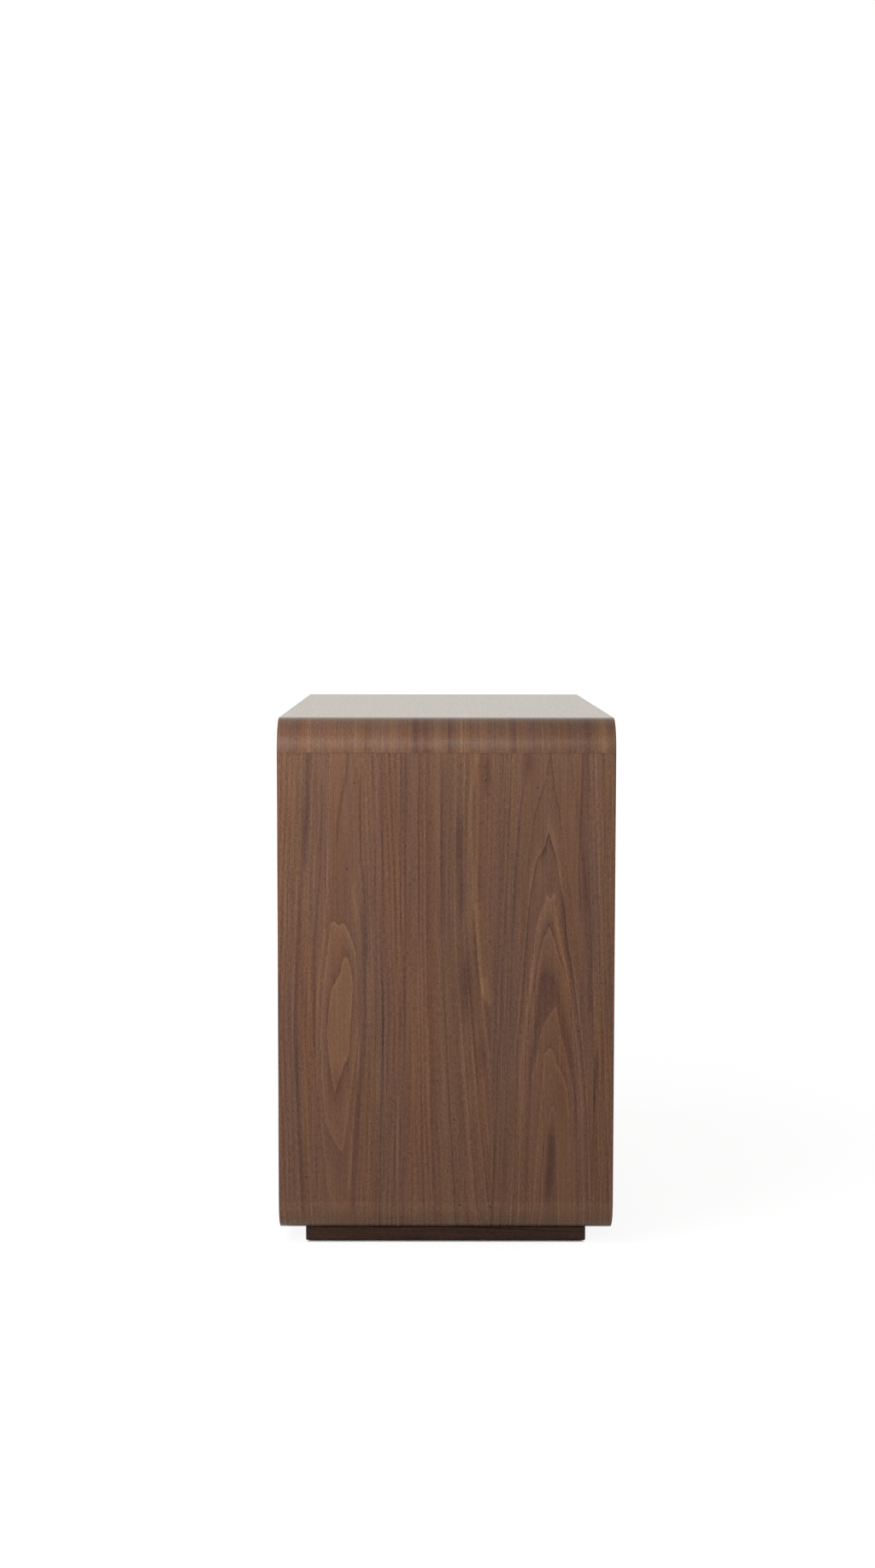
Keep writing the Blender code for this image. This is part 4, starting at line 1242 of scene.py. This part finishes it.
FLOOR_SIZE = 60.0
AMBIENT = 0.18
FLOOR_WHITE = 0.75
CONTACT = 0.006
FAR_FLOOR = (0.3, 3.5)
NEAR_GLOW = 0.78
FLOOR_GLOW = 1.14
FLOOR_ROUGH = 0.9
WARM_WHITE = (1.0, 0.98, 0.92, 1)
END_AIM = (0.46, 0.0, 0.7)
FILL_AIM = (0.0, 0.0, 0.42)


def flat_floor():
    """A square floor that glows to the camera, but for a narrow line round the plinth.

    In reflections it glows only further off.
    """
    half = FLOOR_SIZE / 2
    mesh = bpy.data.meshes.new("studio_floor")
    corners = [(-half, -half, 0), (half, -half, 0), (half, half, 0), (-half, half, 0)]
    mesh.from_pydata(corners, [], [(0, 1, 2, 3)])
    floor = add_object("studio_floor", mesh)
    material, tree, shader = new_material("floor_white")
    feed(tree, shader, {"Base Color": (FLOOR_WHITE, FLOOR_WHITE, FLOOR_WHITE, 1), "Roughness": FLOOR_ROUGH})
    path = add_node(tree, "ShaderNodeLightPath").outputs
    beyond = [
        calc(tree, "SUBTRACT", calc(tree, "ABSOLUTE", axis), edge)
        for axis, edge in zip(axes_of(tree, object_place(tree)), (plinth_high.x, plinth_high.y - CONTACT))
    ]
    outside = calc(tree, "MAXIMUM", *beyond)
    far = part_way(tree, outside, *FAR_FLOOR)
    seen = calc(tree, "MULTIPLY", path["Is Camera Ray"], part_way(tree, outside, 0.0, CONTACT))
    seen = calc(tree, "MAXIMUM", seen, calc(tree, "MULTIPLY", path["Is Glossy Ray"], far))
    seen = calc(tree, "MAXIMUM", seen, path["Is Transmission Ray"])
    share = calc(tree, "MULTIPLY", seen, pile(tree, NEAR_GLOW, (far, 1 - NEAR_GLOW)))
    glow = add_node(tree, "ShaderNodeEmission", {"Color": (1, 1, 1, 1), "Strength": FLOOR_GLOW})
    both = add_node(tree, "ShaderNodeMixShader", {0: share, 1: shader.outputs[0], 2: glow.outputs[0]})
    feed(tree, tree.nodes["Material Output"], {"Surface": both.outputs[0]})
    mesh.materials.append(material)


def white_surround():
    """White to the camera and a little warm in reflections, with a dim light of its own."""
    world = bpy.data.worlds.new("studio")
    bpy.context.scene.world = world
    world.use_nodes = True
    tree = world.node_tree
    path = add_node(tree, "ShaderNodeLightPath").outputs
    seen = calc(tree, "MAXIMUM", path["Is Camera Ray"], path["Is Glossy Ray"])
    seen = calc(tree, "MAXIMUM", seen, path["Is Transmission Ray"])
    strength = pile(tree, AMBIENT, (seen, 1.0 - AMBIENT))
    colour = mix(tree, (1, 1, 1, 1), WARM_WHITE, path["Is Glossy Ray"], "MIX")
    feed(tree, tree.nodes["Background"], {"Color": colour, "Strength": strength})


def lamp(name, place, aim, size, power, shows):
    """A rectangular lamp turned to a point, which reflections show or leave out."""
    data = bpy.data.lights.new(name, "AREA")
    data.shape = "RECTANGLE"
    data.size, data.size_y = size
    data.energy = power
    obj = add_object(name, data)
    obj.location = place
    obj.rotation_euler = (obj.location - Vector(aim)).to_track_quat("Z", "Y").to_euler()
    obj.visible_glossy = shows


flat_floor()
white_surround()
lamp("key", (2.4, -1.5, 1.0), (0.46, 0.0, 0.6), (1.2, 1.2), 13.2, False)
lamp("upper_key", (1.15, -0.7, 1.35), END_AIM, (0.7, 0.7), 12.0, False)
for step, height in enumerate((1.0, 1.8, 2.6)):
    lamp(f"sheen_{step}", (2.9 + 0.01 * step, -0.6, 2.0), END_AIM, (2.2, height), 8.0, True)
for place, x, y in (("front", -0.3, -2.9), ("left", -3.1, 0.0), ("back", -0.3, 2.9)):
    lamp(f"{place}_fill", (x, y, 0.75), FILL_AIM, (1.6, 1.2), 42.0, False)
bpy.context.scene.view_settings.view_transform = "Standard"

# Camera
# Square on to the right-hand end with a 50 mm lens on an upright frame, from a little above the top.

PLACE = (3.6254, -0.0204, 0.9533)
LENS_MM = 50.0
FRAME_MM = 36.0
YAW, PITCH, ROLL = (math.radians(angle) for angle in (0.132, 4.719, -0.069))

camera = add_object("camera", bpy.data.cameras.new("camera"))
camera.data.lens = LENS_MM
camera.data.sensor_width = FRAME_MM
camera.location = PLACE
aim = Euler((math.pi / 2 - PITCH, 0, math.pi / 2 - YAW)).to_matrix() @ Matrix.Rotation(-ROLL, 3, "Z")
camera.rotation_euler = aim.to_euler()
bpy.context.scene.camera = camera

bpy.context.view_layer.update()
